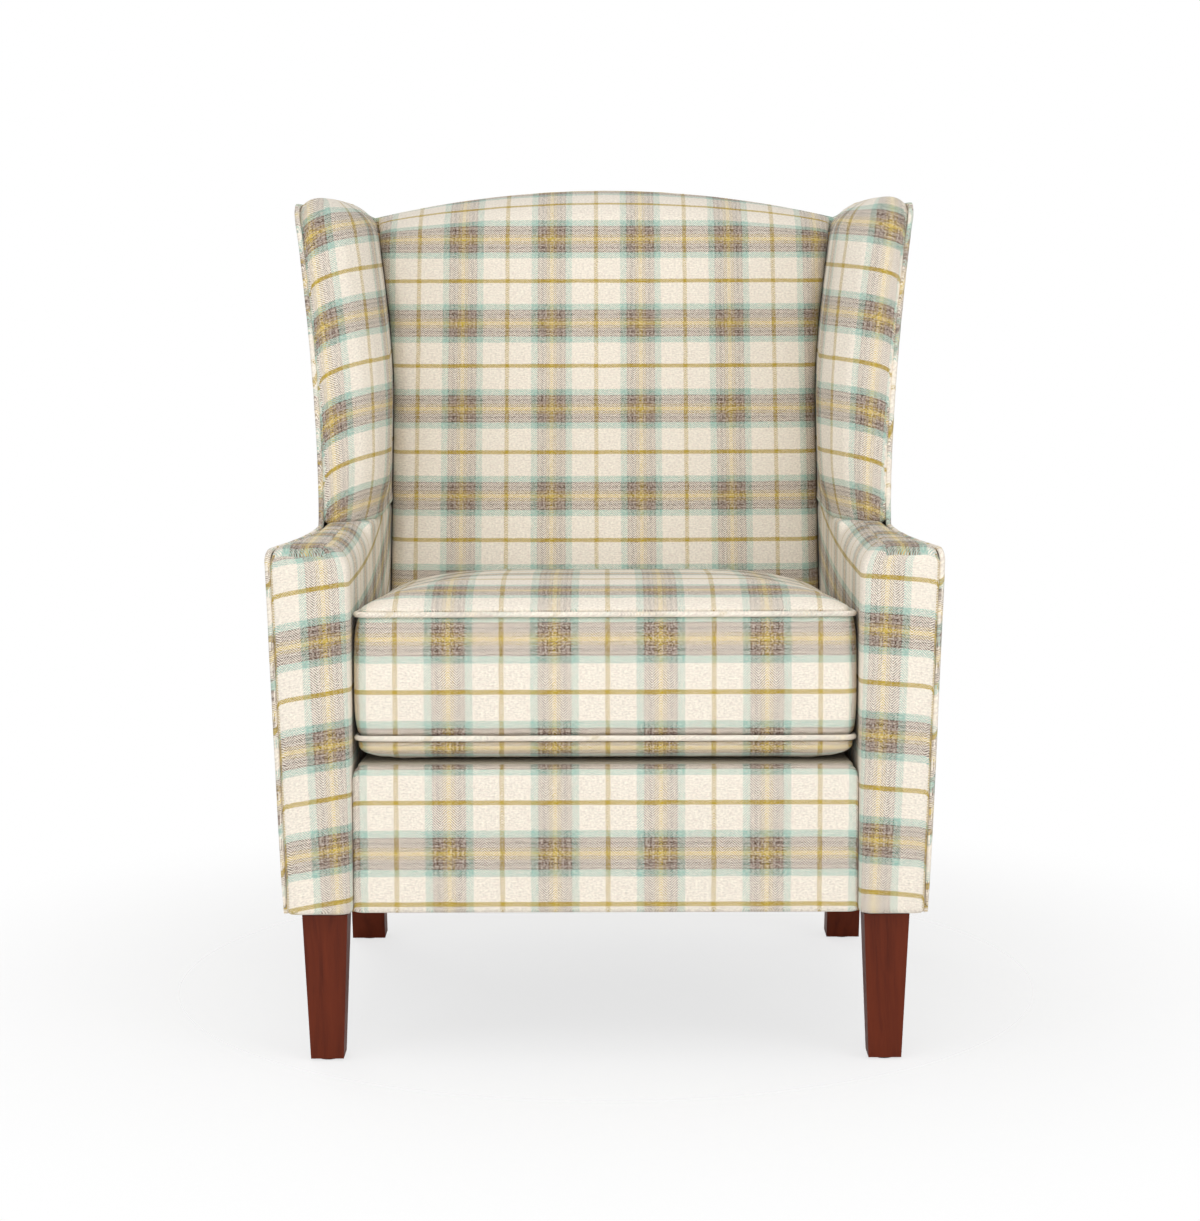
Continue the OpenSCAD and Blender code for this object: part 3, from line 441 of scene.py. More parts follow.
def plain_timber(name, along):
    """Planed, unstained frame timber whose grain runs along one axis."""
    beech = tuple(settings("timber").beech)
    m = Material(name)
    point = m.object_point()
    scale = tuple(5.0 if axis == along else 120.0 for axis in "XYZ")
    grain = m.noise(m.scaled(point, scale), 1.0, 4.0, 0.6)
    knots = m.noise(m.scaled(point, tuple(s / 14 for s in scale)), 1.0)
    base = m.ramp(grain, [(0.25, tinted(beech, 0.62)), (0.5, beech), (0.8, tinted(beech, 1.18))])
    shade = m.math("MULTIPLY_ADD", knots, -1.6, 1.1, clamp=True)
    m.set({"Base Color": m.mix(m.math("MULTIPLY", shade, 0.3), base, tinted(beech, 0.5)), "Roughness": 0.62})
    m.bump(grain, 0.2, 0.0005)


def worked_metal(name, base, rough):
    """Plated or cast metal with fine brush marks and dull patches."""
    fine = 700.0
    m = Material(name)
    point = m.object_point()
    marks = m.noise(m.scaled(point, (fine, fine, fine / 12)), 1.0, 3.0)
    patches = m.noise(point, 60.0, 3.0)
    m.set({
        "Base Color": m.ramp(patches, [(0.3, tinted(base, 0.72)), (0.7, base)]),
        "Roughness": m.math("MULTIPLY_ADD", marks, 0.25, rough - 0.12),
        "Metallic": 1.0,
    })
    m.bump(marks, 0.1, 0.0002)


def moulded_plastic(name, base):
    """Dull plastic with a fine grain."""
    m = Material(name)
    grain = m.noise(m.object_point(), 900.0)
    m.set({"Base Color": m.ramp(grain, [(0.3, tinted(base, 0.8)), (0.7, base)]), "Roughness": 0.5})
    m.bump(grain, 0.2, 0.0003)


def open_foam(name):
    """Yellow foam with open cells, whose hollows are painted darker as painted shade."""
    m = Material(name)
    cells = m.node("TexVoronoi", {"Vector": m.object_point(), "Scale": 420.0}).outputs["Distance"]
    # Painted shade: the foam is one colour, and the ramp darkens the hollows of its cells
    base = m.ramp(cells, [(0.05, linear(150, 124, 60)), (0.45, linear(226, 204, 130))])
    m.set({"Base Color": base, "Roughness": 0.95})
    m.bump(cells, 0.6, 0.001)


def plain_weave(name, base, pitch, axes="XY"):
    """Plain woven cloth or webbing in one colour, with painted shade in the gaps between threads; pitch is the size of
    a thread.
    """
    m = Material(name)
    point = m.object_point()
    split = m.node("SeparateXYZ", {0: point})
    waves = [m.math("MULTIPLY", split.outputs[axis], math.pi / pitch) for axis in axes]
    weave = m.math("MULTIPLY", *[m.math("ABSOLUTE", m.math("SINE", wave)) for wave in waves])
    fibre = m.noise(point, 1.2 / pitch, 3.0)
    # The fibre noise is the yarn's own uneven tone; where the weave is low, between threads, the colour darkens as
    # painted shade
    factor = m.math("MULTIPLY_ADD", fibre, 0.6, m.math("MULTIPLY", weave, 0.5), clamp=True)
    colour = m.ramp(factor, [(0.1, tinted(base, 0.55)), (0.75, base)])
    m.set({"Base Color": colour, "Roughness": 0.93, "Sheen Weight": 0.08})
    m.bump(weave, 0.5, pitch * 0.4)


# The chair's main lines, as its frame has them; x is taken outwards from the middle

FRONT_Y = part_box("arm_right")[0].y
ARM_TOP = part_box("arm_right")[1].z
LEG_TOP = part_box("outside_arm_right")[0].z
SIDE_X, INNER_X, SIDE_DEPTH = 0.352, 0.289, 0.815
ARM_FLARE, FLARE_DEPTH = 0.034, 0.26  # How far the arms open out at the front, and from where
ARM_TAPER, INNER_TAPER = 0.0145, 0.005
ARM_SEAM_X, ARM_SEAM_Z = 0.3155, 0.589  # Where the separate cloth of an arm's top starts
WING_TOP, WING_BEND = 1.0, 0.94
WING_START, WING_LEAN, WING_CORNER = 0.298, 0.165, 0.06
WING_FLARE, WING_INNER_X, WING_OPENING, WING_SWELL = 0.044, 0.284, 0.033, 0.014
ROLL_EDGE = 0.0176  # From a wing's outside in to the edge of its roll
BACK_START, BACK_FOOT, BACK_HEIGHT = 0.544, 0.521, 0.493
BACK_SLOPE, BACK_BOW = math.radians(19.5), 0.013
CUSHION_Y, CUSHION_Z = FRONT_Y + 0.005, 0.3512
RAKE = math.radians(4)

# The seat cushion in its own place: y back from its front, z up from the deck
SEAM_LOW, SEAM_HIGH = 0.029, 0.17
CROWN_HEIGHT, BELLY_DEPTH = 0.04, 0.028
CUSHION_HALF = 0.287
FOAM_HALF, FOAM_FRONT, FOAM_BACK = 0.259, 0.03, 0.4385
ZIP_Y, ZIP_Z = 0.4562, 0.0995
ZIP_LENGTH, ZIP_SLOT = 0.4, 0.016

# One repeat of the plaid, by how far each cloth is pulled, and how far off the middle it lies
REPEAT, REPEAT_PULLED, REPEAT_CUSHION = 0.1205, 0.1195, 0.1208
BACK_OFFSET, CUSHION_OFFSET = -0.0109, 0.0028
FOOT_LINE = 0.306  # Height of the gold line round the chair's foot


def ramped(value, start, width):
    """Rises from 0 at start to 1 over a width, which may be negative."""
    return np.clip((value - start) / width, 0, 1)


def arm_outer(y, z):
    along = np.maximum(0, y - FRONT_Y)
    top = SIDE_X + ARM_FLARE * (1 - np.minimum(1, along / FLARE_DEPTH)) ** 2
    taper = ARM_TAPER * (1 - 0.4 * np.minimum(1, along / SIDE_DEPTH))
    return top - taper * (ARM_TOP - z) / (ARM_TOP - LEG_TOP)


def arm_inner(y):
    return INNER_X - INNER_TAPER * np.minimum(1, np.maximum(0, y - FRONT_Y) / BACK_START)


def wing_rise(z):
    return np.maximum(0, (z - ARM_TOP) / (WING_TOP - ARM_TOP))


def wing_outer(z):
    return SIDE_X + WING_FLARE * wing_rise(z) ** 1.5


def wing_inner(z):
    opening = np.maximum(0, (z - 0.74) / 0.26)
    swell = WING_SWELL * (1 - np.maximum(0, 1 - (z - ARM_TOP) / 0.08) ** 2)
    return WING_INNER_X + WING_OPENING * opening ** 1.5 - swell


def wing_line(z):
    corner = ramped(z, WING_BEND, WING_TOP - WING_BEND)
    rounding = WING_CORNER * (1 - np.sqrt(np.maximum(0, 1 - corner**2)))
    return FRONT_Y + WING_START + WING_LEAN * wing_rise(z) + rounding


def back_line(z):
    bow = BACK_BOW * np.maximum(0, (z - BACK_FOOT) / BACK_HEIGHT) ** 2
    return FRONT_Y + BACK_START + (z - BACK_FOOT) * math.tan(BACK_SLOPE) + bow


BACK_Z = np.linspace(0.25, 1.03, 400)
BACK_RUN = np.concatenate([[0], np.cumsum(np.hypot(np.diff(BACK_Z), np.diff(back_line(BACK_Z))))])
BACK_RUN = BACK_RUN - np.interp(BACK_FOOT, BACK_Z, BACK_RUN)


def seat_place(co):
    """Points in the seat cushion's own place: back from its front, and up from the deck."""
    y, z = co[:, 1] - CUSHION_Y, co[:, 2] - CUSHION_Z
    return y * math.cos(RAKE) - z * math.sin(RAKE), y * math.sin(RAKE) + z * math.cos(RAKE)


# How the cloth lies: repeats across and along at the corners of a piece's faces


def back_cloth(co, middle, facing):
    x, y, z = co.T
    over = np.maximum(0, y - back_line(z) - 0.01) * ramped(z, WING_BEND, 0.03)
    run = np.interp(z, BACK_Z, BACK_RUN) + over * 0.9
    return (x - BACK_OFFSET) / REPEAT_PULLED, (run - 0.0331) / REPEAT


def arm_cloth(side):
    """The two arms' cloths lie a little differently, as in the photograph."""
    drop, start, wander = (0.17, 0.3165, 0.026) if side < 0 else (0.08, 0.325, 0.012)

    def mapping(co, middle, facing):
        x, y, z = (co * (side, 1, 1)).T
        across = arm_outer(FRONT_Y, z) - x
        back = np.maximum(0, y - FRONT_Y)
        outside = (facing[:, 0] * side > 0.25) & (middle[:, 0] * side > 0.33)
        width = across + np.where(outside, -back, back)
        behind = ramped(back, 0, 0.03)
        roll = np.maximum(0, x - arm_inner(y)) * behind
        sag = drop * np.maximum(0, 0.087 - across) * (1 - behind)
        height = z + roll * 0.8 + sag - wander * (back / 0.4) ** 3
        u, v = (width - 0.0065) / REPEAT_PULLED, (height - start) / REPEAT
        top = on_arm_top(middle, side) & (facing[:, 2] > -0.2)
        u = np.where(top, 0.5 + (y - FRONT_Y - 0.03) / REPEAT_PULLED, u)
        v = np.where(top, 0.5 + (x - 0.336) / REPEAT, v)
        return u, v

    return mapping


def on_arm_top(point, side):
    """True for the part of the arm that the separate top cloth covers."""
    return (point[:, 2] > ARM_SEAM_Z) & (point[:, 0] * side > ARM_SEAM_X)


# Way along the quarter of an ellipse that a wing's roll makes, by angle
ROLL_WIDTH, ROLL_DEPTH = 0.07, 0.1
ROLL_ANGLE = np.linspace(0, math.pi / 2, 60)
ROLL_STEPS = np.hypot(ROLL_WIDTH * np.diff(np.cos(ROLL_ANGLE)), ROLL_DEPTH * np.diff(np.sin(ROLL_ANGLE)))
ROLL_RUN = np.concatenate([[0], np.cumsum(ROLL_STEPS)])


def wing_cloth(side):
    """Turns the plaid round a wing's roll; the two wings' cloths lie a little differently."""
    rise, shift = (0.036, 0.0) if side < 0 else (0.021, 0.009)

    def mapping(co, middle, facing):
        x, y, z = (co * (side, 1, 1)).T
        inner = wing_inner(z)
        span = np.maximum(0.01, wing_outer(z) - ROLL_EDGE - inner)
        depth = np.maximum(0, y - wing_line(z))
        # Behind the front of the dome, the inside's cloth runs on over the top
        lift = ramped(z, 0.96, 0.03) * ramped(depth, 0.015, 0.11)
        over = lift * np.maximum(0, x - inner - 0.012)
        share = ramped(x, inner, span) * (1 - lift)
        near = ramped(share, 0, 0.2)
        turn = np.arctan2(np.maximum(0, 1 - depth / ROLL_DEPTH), 1 - share)
        angle = near * np.arccos(1 - share) + (1 - near) * turn
        front = np.interp(angle, ROLL_ANGLE, ROLL_RUN)
        edge = np.maximum(0, x - wing_outer(z) + ROLL_EDGE)
        width = 0.019 - 1.3 * edge + (ROLL_RUN[-1] - front) + np.maximum(0, depth - ROLL_DEPTH)
        outside = (facing[:, 0] * side > 0.5) & (middle[:, 0] * side > wing_outer(middle[:, 2]) - 0.014)
        width = np.where(outside, 0.003 - np.minimum(depth, 0.3), width)
        lean = rise * np.exp(-np.maximum(0, width) / 0.033)
        start = 0.084 + shift - 0.007 * wing_rise(z)
        return (width - start) / REPEAT_PULLED, (z + over + lean - 0.9125) / 0.1155

    return mapping


def cushion_cloth(co, middle, facing):
    x, (y, z), level = co[:, 0], seat_place(co), seat_place(middle)[1]
    u = (x - CUSHION_OFFSET) / REPEAT_CUSHION
    v = (z - 0.082) / REPEAT
    top = level > SEAM_HIGH
    v = np.where(top, 0.5 + (y + 0.45 * (z - SEAM_HIGH) - 0.064) / REPEAT, v)
    v = np.where(level < SEAM_LOW, v + 0.033, v)
    under = level < 0.012
    v = np.where(under, -0.55 - y / REPEAT, v)
    ends = ~top & ~under & (np.abs(facing[:, 0]) > 0.7)
    u = np.where(ends, (np.sign(x) * (CUSHION_HALF + y) - CUSHION_OFFSET) / REPEAT_CUSHION, u)
    return u, v


def rail_cloth(co, middle, facing):
    over = np.maximum(0, co[:, 1] + 0.3995) * 0.8
    return (co[:, 0] - CUSHION_OFFSET) / REPEAT_CUSHION, (co[:, 2] + over - FOOT_LINE) / 0.118


def side_cloth(co, middle, facing):
    return (co[:, 1] + 0.16) / REPEAT, (co[:, 2] - FOOT_LINE) / REPEAT


def rear_cloth(co, middle, facing):
    return (co[:, 0] - BACK_OFFSET) / REPEAT, (co[:, 2] - 0.29) / REPEAT


def bias_cloth(co, middle, facing):
    """Cloth cut on the slant, as for piping."""
    a, b = co[:, 1] + 0.6 * co[:, 0], co[:, 2] - 0.3 * co[:, 0]
    return (a + b) / 0.17 + 0.13, (b - a) / 0.17 + 0.34


# Soft pieces

PIPING_GROWTH, PIPING_SWING = 0.0006, 0.00012
ARM_GROOVE, SEAM_DEPTH, GATHERS, PUCKER_REACH = 0.0016, 0.0052, 0.0009, 0.014
ARM_CLEARANCE, BACK_CLEARANCE = 0.0018, 0.0012  # Round the seat cushion


def under_panels(co):
    """Draws the hidden sides of the pads in, well under the outside panels."""
    x, y, z = np.abs(co[:, 0]), co[:, 1], co[:, 2]
    low = z < ARM_TOP
    face = np.where(low, arm_outer(y, z), wing_outer(z))
    front = np.where(low, FRONT_Y, wing_line(z)) + 0.02
    top = np.where(low, ARM_TOP, WING_TOP) - 0.015
    hidden = (x > face - 0.0095) & (z < top)
    draw = 0.0012 * ramped(y, front, 0.01) * hidden
    # The front edge swells out to meet the piping
    swell = 0.0016 * ramped(x, face - 0.018, 0.006) * ramped(y, front, -0.01) * (z < top)
    co = co + np.stack([np.sign(co[:, 0]) * (swell - draw), -0.5 * swell, 0 * draw], axis=1)
    return eased_corner(co)


def narrowed_top(co):
    """Draws the inner edge of a wing's roll outwards towards its top, and squares its foot."""
    co = under_panels(co)
    x, y, z = np.abs(co[:, 0]), co[:, 1], co[:, 2]
    share = ramped(x, wing_outer(z) - ROLL_EDGE, -0.06)
    near = ramped(y - wing_line(z), 0.16, -0.06)
    draw = 0.007 * share * near * ramped(z, 0.76, 0.14)
    # The foot of the roll is square, where it is sewn down to the arm
    middle = (wing_inner(z) + wing_outer(z) - ROLL_EDGE) / 2
    foot = ramped(z, 0.617, -0.017) ** 2
    wide = x + (x - middle) * 0.16 * foot
    wide = np.where(foot > 0, np.minimum(wide, np.maximum(x, wing_outer(z) - 0.013)), wide)
    co[:, 0] = np.sign(co[:, 0]) * (wide + draw)
    co[:, 2] -= 0.0025 * foot
    return co


def rounded_ends(co):
    """Rounds the upper corners at the two ends of the front rail's cloth."""
    across = ramped(np.abs(co[:, 0]), 0.2735, 0.016)
    fall = 0.015 * (1 - np.sqrt(1 - across**2)) * ramped(co[:, 2], 0.29, 0.04)
    return co - fall[:, None] * (0, 0, 1)


def eased_corner(co):
    """Lets the outer top corner of a wing fall a little, as its cloth and piping round it together."""
    out = ramped(np.abs(co[:, 0]), 0.362, 0.032)
    fall = 0.009 * out**1.6 * ramped(co[:, 2], 0.955, 0.04)
    return co - fall[:, None] * (0, 0, 1)


def tight_pad(name, node, mapping, rounds, shaped=None, placed=under_panels):
    """A padded piece: its solid with even faces, smoothed, and its cloth laid on."""
    piece = place_piece(name, copied_solid(node), "frame", "Plaid cloth", (node,))
    voxelled(piece, settings("padding").voxel)
    relax(piece, rounds)
    set_points(piece, placed(points_of(piece)))
    if shaped:
        co, normals = points_of(piece), normals_of(piece)
        set_points(piece, co + normals * shaped(co)[:, None])
    lay_cloth(piece, mapping)


def piping_piece(name, node, body, material, seed):
    """Round piping from its six-sided solid, a little uneven, as a cord under cloth is."""
    bm = copied_solid(node)
    bmesh.ops.join_triangles(bm, faces=bm.faces, angle_face_threshold=1.0, angle_shape_threshold=3.1)
    bm.normal_update()
    for vert in bm.verts:
        vert.co += vert.normal * PIPING_GROWTH  # Rounding takes this off again
    piece = place_piece(name, bm, body, material, (node,))
    subdivided(piece, 2)
    co = eased_corner(points_of(piece))
    swing = ripples(co @ np.array([61.0, 83.0, 97.0]), seed) * PIPING_SWING
    set_points(piece, co + normals_of(piece) * swing[:, None])
    lay_cloth(piece, bias_cloth)


def panel_piece(name, node, material, mapping=None, edge=0.0015, body="frame"):
    """A flat or gently bent covered panel: its solid with softened edges."""
    bm = flat_solid(node)
    sharp = [e for e in bm.edges if len(e.link_faces) == 2 and e.calc_face_angle(0) > SHARP_ANGLE]
    softened_edges(bm, sharp, edge, 3, clamp=True)
    bmesh.ops.triangulate(bm, faces=bm.faces)
    piece = place_piece(name, bm, body, material, (node,))
    piece.data.set_sharp_from_angle(angle=math.radians(35))
    if mapping:
        lay_cloth(piece, mapping)


def dressed(node, material):
    """Gives a CAD node its finish."""
    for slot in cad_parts[node].material_slots:
        slot.material = bpy.data.materials[material]


def softened(node, material, width, segments=2):
    """A CAD node with its finish, and its sharp edges eased."""
    dressed(node, material)
    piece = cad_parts[node]
    modify(piece, "Joined", "WELD", merge_threshold=JOIN_DISTANCE)
    modify(
        piece, "Eased edges", "BEVEL", width=width, segments=segments, limit_method="ANGLE", angle_limit=SHARP_ANGLE
    )


def seam_puckers(side):
    """Pulls the seam of the arm's top cloth in, and gathers the cloth beside it."""

    def shaped(co):
        x, y, z = (co * (side, 1, 1)).T
        inside = np.minimum(z - ARM_SEAM_Z, x - ARM_SEAM_X)
        held = ramped(x, 0.36, -0.01) * ramped(y, FRONT_Y + 0.3, -0.03) * (z > 0.56)
        groove = -ARM_GROOVE * np.exp(-((inside / 0.0026) ** 2)) * held
        along = np.where(y - FRONT_Y < 0.012, x, y)
        pucker = settings("padding").pucker * ripples(along / 0.0042, 5 + side) * np.exp(-np.abs(inside) / PUCKER_REACH)
        fading = np.exp(-np.maximum(0, y - FRONT_Y - 0.01) / 0.05)
        gathers = GATHERS * ripples(x / 0.011 + y / 0.05, 17 + side) * fading
        top = (inside > 0) & (z > 0.585)
        return groove + np.where(top, pucker + gathers, 0.35 * pucker) * held

    return shaped


# Operators, one for each group of pieces


class CHAIR_OT_finishes(bpy.types.Operator):
    """Mixes the cloths, timber, metal and plastic of the chair"""

    bl_idname = "chair.finishes"
    bl_label = "Mix Finishes"

    def execute(self, context):
        plaid_cloth("Plaid cloth")
        plaid_cloth("Side piping cloth", 0.12)
        plaid_cloth("Piping cloth", 0.78)
        stained_wood("Stained wood")
        for axis in "XYZ":
            plain_timber("Timber " + axis, axis)
        worked_metal("Steel", (0.56, 0.57, 0.58), 0.38)
        worked_metal("Spring steel", (0.3, 0.31, 0.33), 0.42)
        worked_metal("Zip metal", (0.72, 0.66, 0.5), 0.3)
        moulded_plastic("Glide plastic", linear(64, 52, 46))
        moulded_plastic("Zip teeth", linear(214, 206, 190))
        open_foam("Open foam")
        plain_weave("Deck cloth", linear(206, 196, 176), 0.0012)
        plain_weave("Dust cloth", linear(44, 43, 42), 0.0009)
        plain_weave("Webbing", linear(172, 138, 92), 0.0022, axes="XZ")
        plain_weave("Zip tape", linear(214, 206, 188), 0.0007, axes="XZ")
        return {"FINISHED"}


SIDES = {"left": -1, "right": 1}


class CHAIR_OT_arms(bpy.types.Operator):
    """Pads the arms, with the gathered seam of each arm's top cloth"""

    bl_idname = "chair.arms"
    bl_label = "Pad Arms"

    def execute(self, context):
        for hand, side in SIDES.items():
            tight_pad("padded_arm_" + hand, "arm_" + hand, arm_cloth(side), 14, seam_puckers(side))
        return {"FINISHED"}


class CHAIR_OT_wings(bpy.types.Operator):
    """Pads the wings"""

    bl_idname = "chair.wings"
    bl_label = "Pad Wings"

    def execute(self, context):
        for hand, side in SIDES.items():
            tight_pad("padded_wing_" + hand, "wing_" + hand, wing_cloth(side), 24, placed=narrowed_top)
        return {"FINISHED"}


class CHAIR_OT_back(bpy.types.Operator):
    """Pads the inside back"""

    bl_idname = "chair.back"
    bl_label = "Pad Back"

    def execute(self, context):
        tight_pad("padded_back", "inside_back", back_cloth, 14, placed=np.array)
        return {"FINISHED"}


class CHAIR_OT_outside_panels(bpy.types.Operator):
    """Covers the outside arms, outside wings, outside back and front rail"""

    bl_idname = "chair.outside_panels"
    bl_label = "Cover Outside"

    def execute(self, context):
        cloth = "Plaid cloth"
        for hand in SIDES:
            for part in ("arm", "wing"):
                node = "outside_" + part + "_" + hand
                panel_piece("covered_" + node, node, cloth, side_cloth)
        panel_piece("covered_outside_back", "outside_back", cloth, rear_cloth)
        tight_pad("padded_front_rail", "front_rail_cover", rail_cloth, 12, placed=rounded_ends)
        return {"FINISHED"}


class CHAIR_OT_pipings(bpy.types.Operator):
    """Makes the cloth piping of the sides and of the seat cushion"""

    bl_idname = "chair.pipings"
    bl_label = "Make Piping"

    def execute(self, context):
        for seed, hand in ((3, "left"), (4, "right")):
            piping_piece("piping_side_" + hand, "side_piping_" + hand, "frame", "Side piping cloth", seed)
        for seed, edge in ((5, "top"), (6, "bottom")):
            piping_piece("piping_cushion_" + edge, "cushion_" + edge + "_piping", "cushion", "Piping cloth", seed)
        return {"FINISHED"}


FILL_FRAMES, CASE_GRAIN = 20, 0.0055
CASE_CLOTH = {
    "quality": 5, "mass": 0.3, "tension_stiffness": 25, "compression_stiffness": 25, "bending_stiffness": 0.5,
    "use_pressure": True,
}


def outer_shell(node):
    """The cushion's case alone: without the room for its foam, and with its zip's slot closed."""
    bm = copied_solid(node)
    points = np.array([face.calc_center_median()[:] for face in bm.faces])
    x, (y, z) = np.abs(points[:, 0]), seat_place(points)
    near = 0.0002
    deep = (y > FOAM_FRONT - near) & (y < FOAM_BACK + near)
    core = (x < FOAM_HALF + near) & deep & (z > SEAM_LOW - near) & (z < SEAM_HIGH + near)
    slot = (x < ZIP_LENGTH / 2 + near) & (y > FOAM_BACK) & (np.abs(z - ZIP_Z) < ZIP_SLOT / 2 + near)
    bm.faces.ensure_lookup_table()
    doomed = [bm.faces[i] for i in np.nonzero(core | slot)[0]]
    bmesh.ops.delete(bm, geom=doomed, context="FACES")
    bmesh.ops.holes_fill(bm, edges=[e for e in bm.edges if e.is_boundary], sides=0)
    bmesh.ops.recalc_face_normals(bm, faces=bm.faces)
    return bm


def seam_gap(co):
    """How far above or below the nearer piping a point of the cushion lies."""
    z = seat_place(co)[1]
    return np.where(np.abs(z - SEAM_LOW) < np.abs(z - SEAM_HIGH), z - SEAM_LOW, z - SEAM_HIGH)


def swollen(piece):
    """Fills the case: cloth under pressure, held at its piping, that moves no farther than its limit."""
    padding = settings("padding")
    start, outward = points_of(piece), normals_of(piece)
    held = piece.vertex_groups.new(name="Held")
    hold = np.exp(-((seam_gap(start) / 0.009) ** 2))
    for index in np.nonzero(hold > 0.05)[0]:
        held.add([int(index)], float(hold[index]), "REPLACE")
    cloth = piece.modifiers.new("Fill", "CLOTH")
    configure(cloth.settings, **CASE_CLOTH, uniform_pressure_force=padding.pressure, vertex_group_mass=held.name)
    cloth.settings.effector_weights.gravity = 0
    cloth.collision_settings.use_collision = False
    cloth.point_cache.frame_start, cloth.point_cache.frame_end = 1, FILL_FRAMES
    scene = bpy.context.scene
    for number in range(1, FILL_FRAMES + 1):
        scene.frame_set(number)
    baked(piece)
    scene.frame_set(1)
    piece.vertex_groups.clear()
    swell = np.sum((points_of(piece) - start) * outward, axis=1)
    swell = padding.swell_cap * np.tanh(np.maximum(swell, 0) / padding.swell_cap)
    set_points(piece, start + outward * swell[:, None])


class CHAIR_OT_seat_cushion(bpy.types.Operator):
    """Fills the seat cushion's case and sinks its piping seams and its zip"""

    bl_idname = "chair.seat_cushion"
    bl_label = "Fill Seat Cushion"

    def execute(self, context):
        case = outer_shell("seat_cushion")
        piece = place_piece("filled_seat_cushion", case, "cushion", "Plaid cloth", ("seat_cushion",))
        voxelled(piece, CASE_GRAIN)
        relax(piece, 10)
        swollen(piece)
        relax(piece, 3)
        subdivided(piece, 1)
        self.set_heights(piece)
        self.sink_seams(piece)
        self.cut_slot(piece)
        lay_cloth(piece, cushion_cloth)
        return {"FINISHED"}

    def set_heights(self, piece):
        """Brings the crown and the belly back to the heights that the frame gives them."""
        co = points_of(piece)
        height = seat_place(co)[1]
        crown, belly = CROWN_HEIGHT / (height.max() - SEAM_HIGH), BELLY_DEPTH / (SEAM_LOW - height.min())
        level = np.where(height > SEAM_HIGH, SEAM_HIGH + (height - SEAM_HIGH) * crown, height)
        level = np.where(height < SEAM_LOW, SEAM_LOW - (SEAM_LOW - height) * belly, level)
        co[:, 1] += (level - height) * math.sin(RAKE)
        co[:, 2] += (level - height) * math.cos(RAKE)
        set_points(piece, co)

    def sink_seams(self, piece):
        """Draws the seams in beside the piping, puckers the cloth, and keeps it off the arms and the back."""
        co, flat = points_of(piece), normals_of(piece)
        gap = seam_gap(co)
        around = co[:, 0] + seat_place(co)[0]
        depth = SEAM_DEPTH * np.exp(-((gap / 0.0034) ** 2))
        pucker = GATHERS * ripples(around / 0.0065, 31) * np.exp(-np.abs(gap) / PUCKER_REACH)
        pucker *= np.abs(gap) > 0.003
        flat[:, 2] *= 0.25
        flat /= np.maximum(np.linalg.norm(flat, axis=1), 1e-6)[:, None]
        co += flat * (pucker - depth)[:, None]
        side = arm_inner(co[:, 1]) - ARM_CLEARANCE
        co[:, 0] = np.clip(co[:, 0], -side, side)
        co[:, 1] = np.minimum(co[:, 1], back_line(co[:, 2]) - BACK_CLEARANCE)
        set_points(piece, co)

    def cut_slot(self, piece):
        """Opens the slot that the zip lies in."""
        depth = 0.03
        bm = bmesh.new()
        bmesh.ops.create_cube(bm, size=1)
        bmesh.ops.scale(bm, vec=(ZIP_LENGTH, depth, ZIP_SLOT), verts=bm.verts)
        bmesh.ops.translate(bm, vec=(0, ZIP_Y + depth / 2, ZIP_Z), verts=bm.verts)
        placed_in_seat(bm)
        mesh = new_mesh("zip_slot", bm)
        cutter = new_object("zip_slot", mesh)
        modify(piece, "Zip slot", "BOOLEAN", operation="DIFFERENCE", solver="EXACT", object=cutter)
        baked(piece)
        bpy.data.objects.remove(cutter)
        bpy.data.meshes.remove(mesh)


class CHAIR_OT_cushion_inside(bpy.types.Operator):
    """Makes the cushion's foam, and its zip with its teeth"""

    bl_idname = "chair.cushion_inside"
    bl_label = "Make Foam and Zip"

    def execute(self, context):
        panel_piece("foam_of_cushion", "cushion_foam", "Open foam", edge=0.004, body="cushion")
        self.zip_tape()
        self.zip_teeth()
        return {"FINISHED"}

    def zip_tape(self):
        bm = flat_solid("zip_tape")
        softened_edges(bm, bm.edges[:], 0.0004, 2)
        bmesh.ops.triangulate(bm, faces=bm.faces)
        place_piece("tape_of_zip", bm, "cushion", "Zip tape", ("zip_tape",), smooth=False)

    def zip_teeth(self):
        """Two rows of teeth, each tooth between two of the other row."""
        bm = bmesh.new()
        pitch, count, lift = 0.0025, 156, 0.0009
        for number in range(count):
            tooth = bmesh.ops.create_cube(bm, size=1)["verts"]
            bmesh.ops.scale(bm, vec=(0.0015, 0.0012, 0.0034), verts=tooth)
            across, height = (number - (count - 1) / 2) * pitch, ZIP_Z + (lift if number % 2 else -lift)
            bmesh.ops.translate(bm, vec=(across, ZIP_Y + 0.0016, height), verts=tooth)
        softened_edges(bm, bm.edges[:], 0.0003, 1)
        placed_in_seat(bm)
        place_piece("teeth_of_zip", bm, "cushion", "Zip teeth", smooth=False)


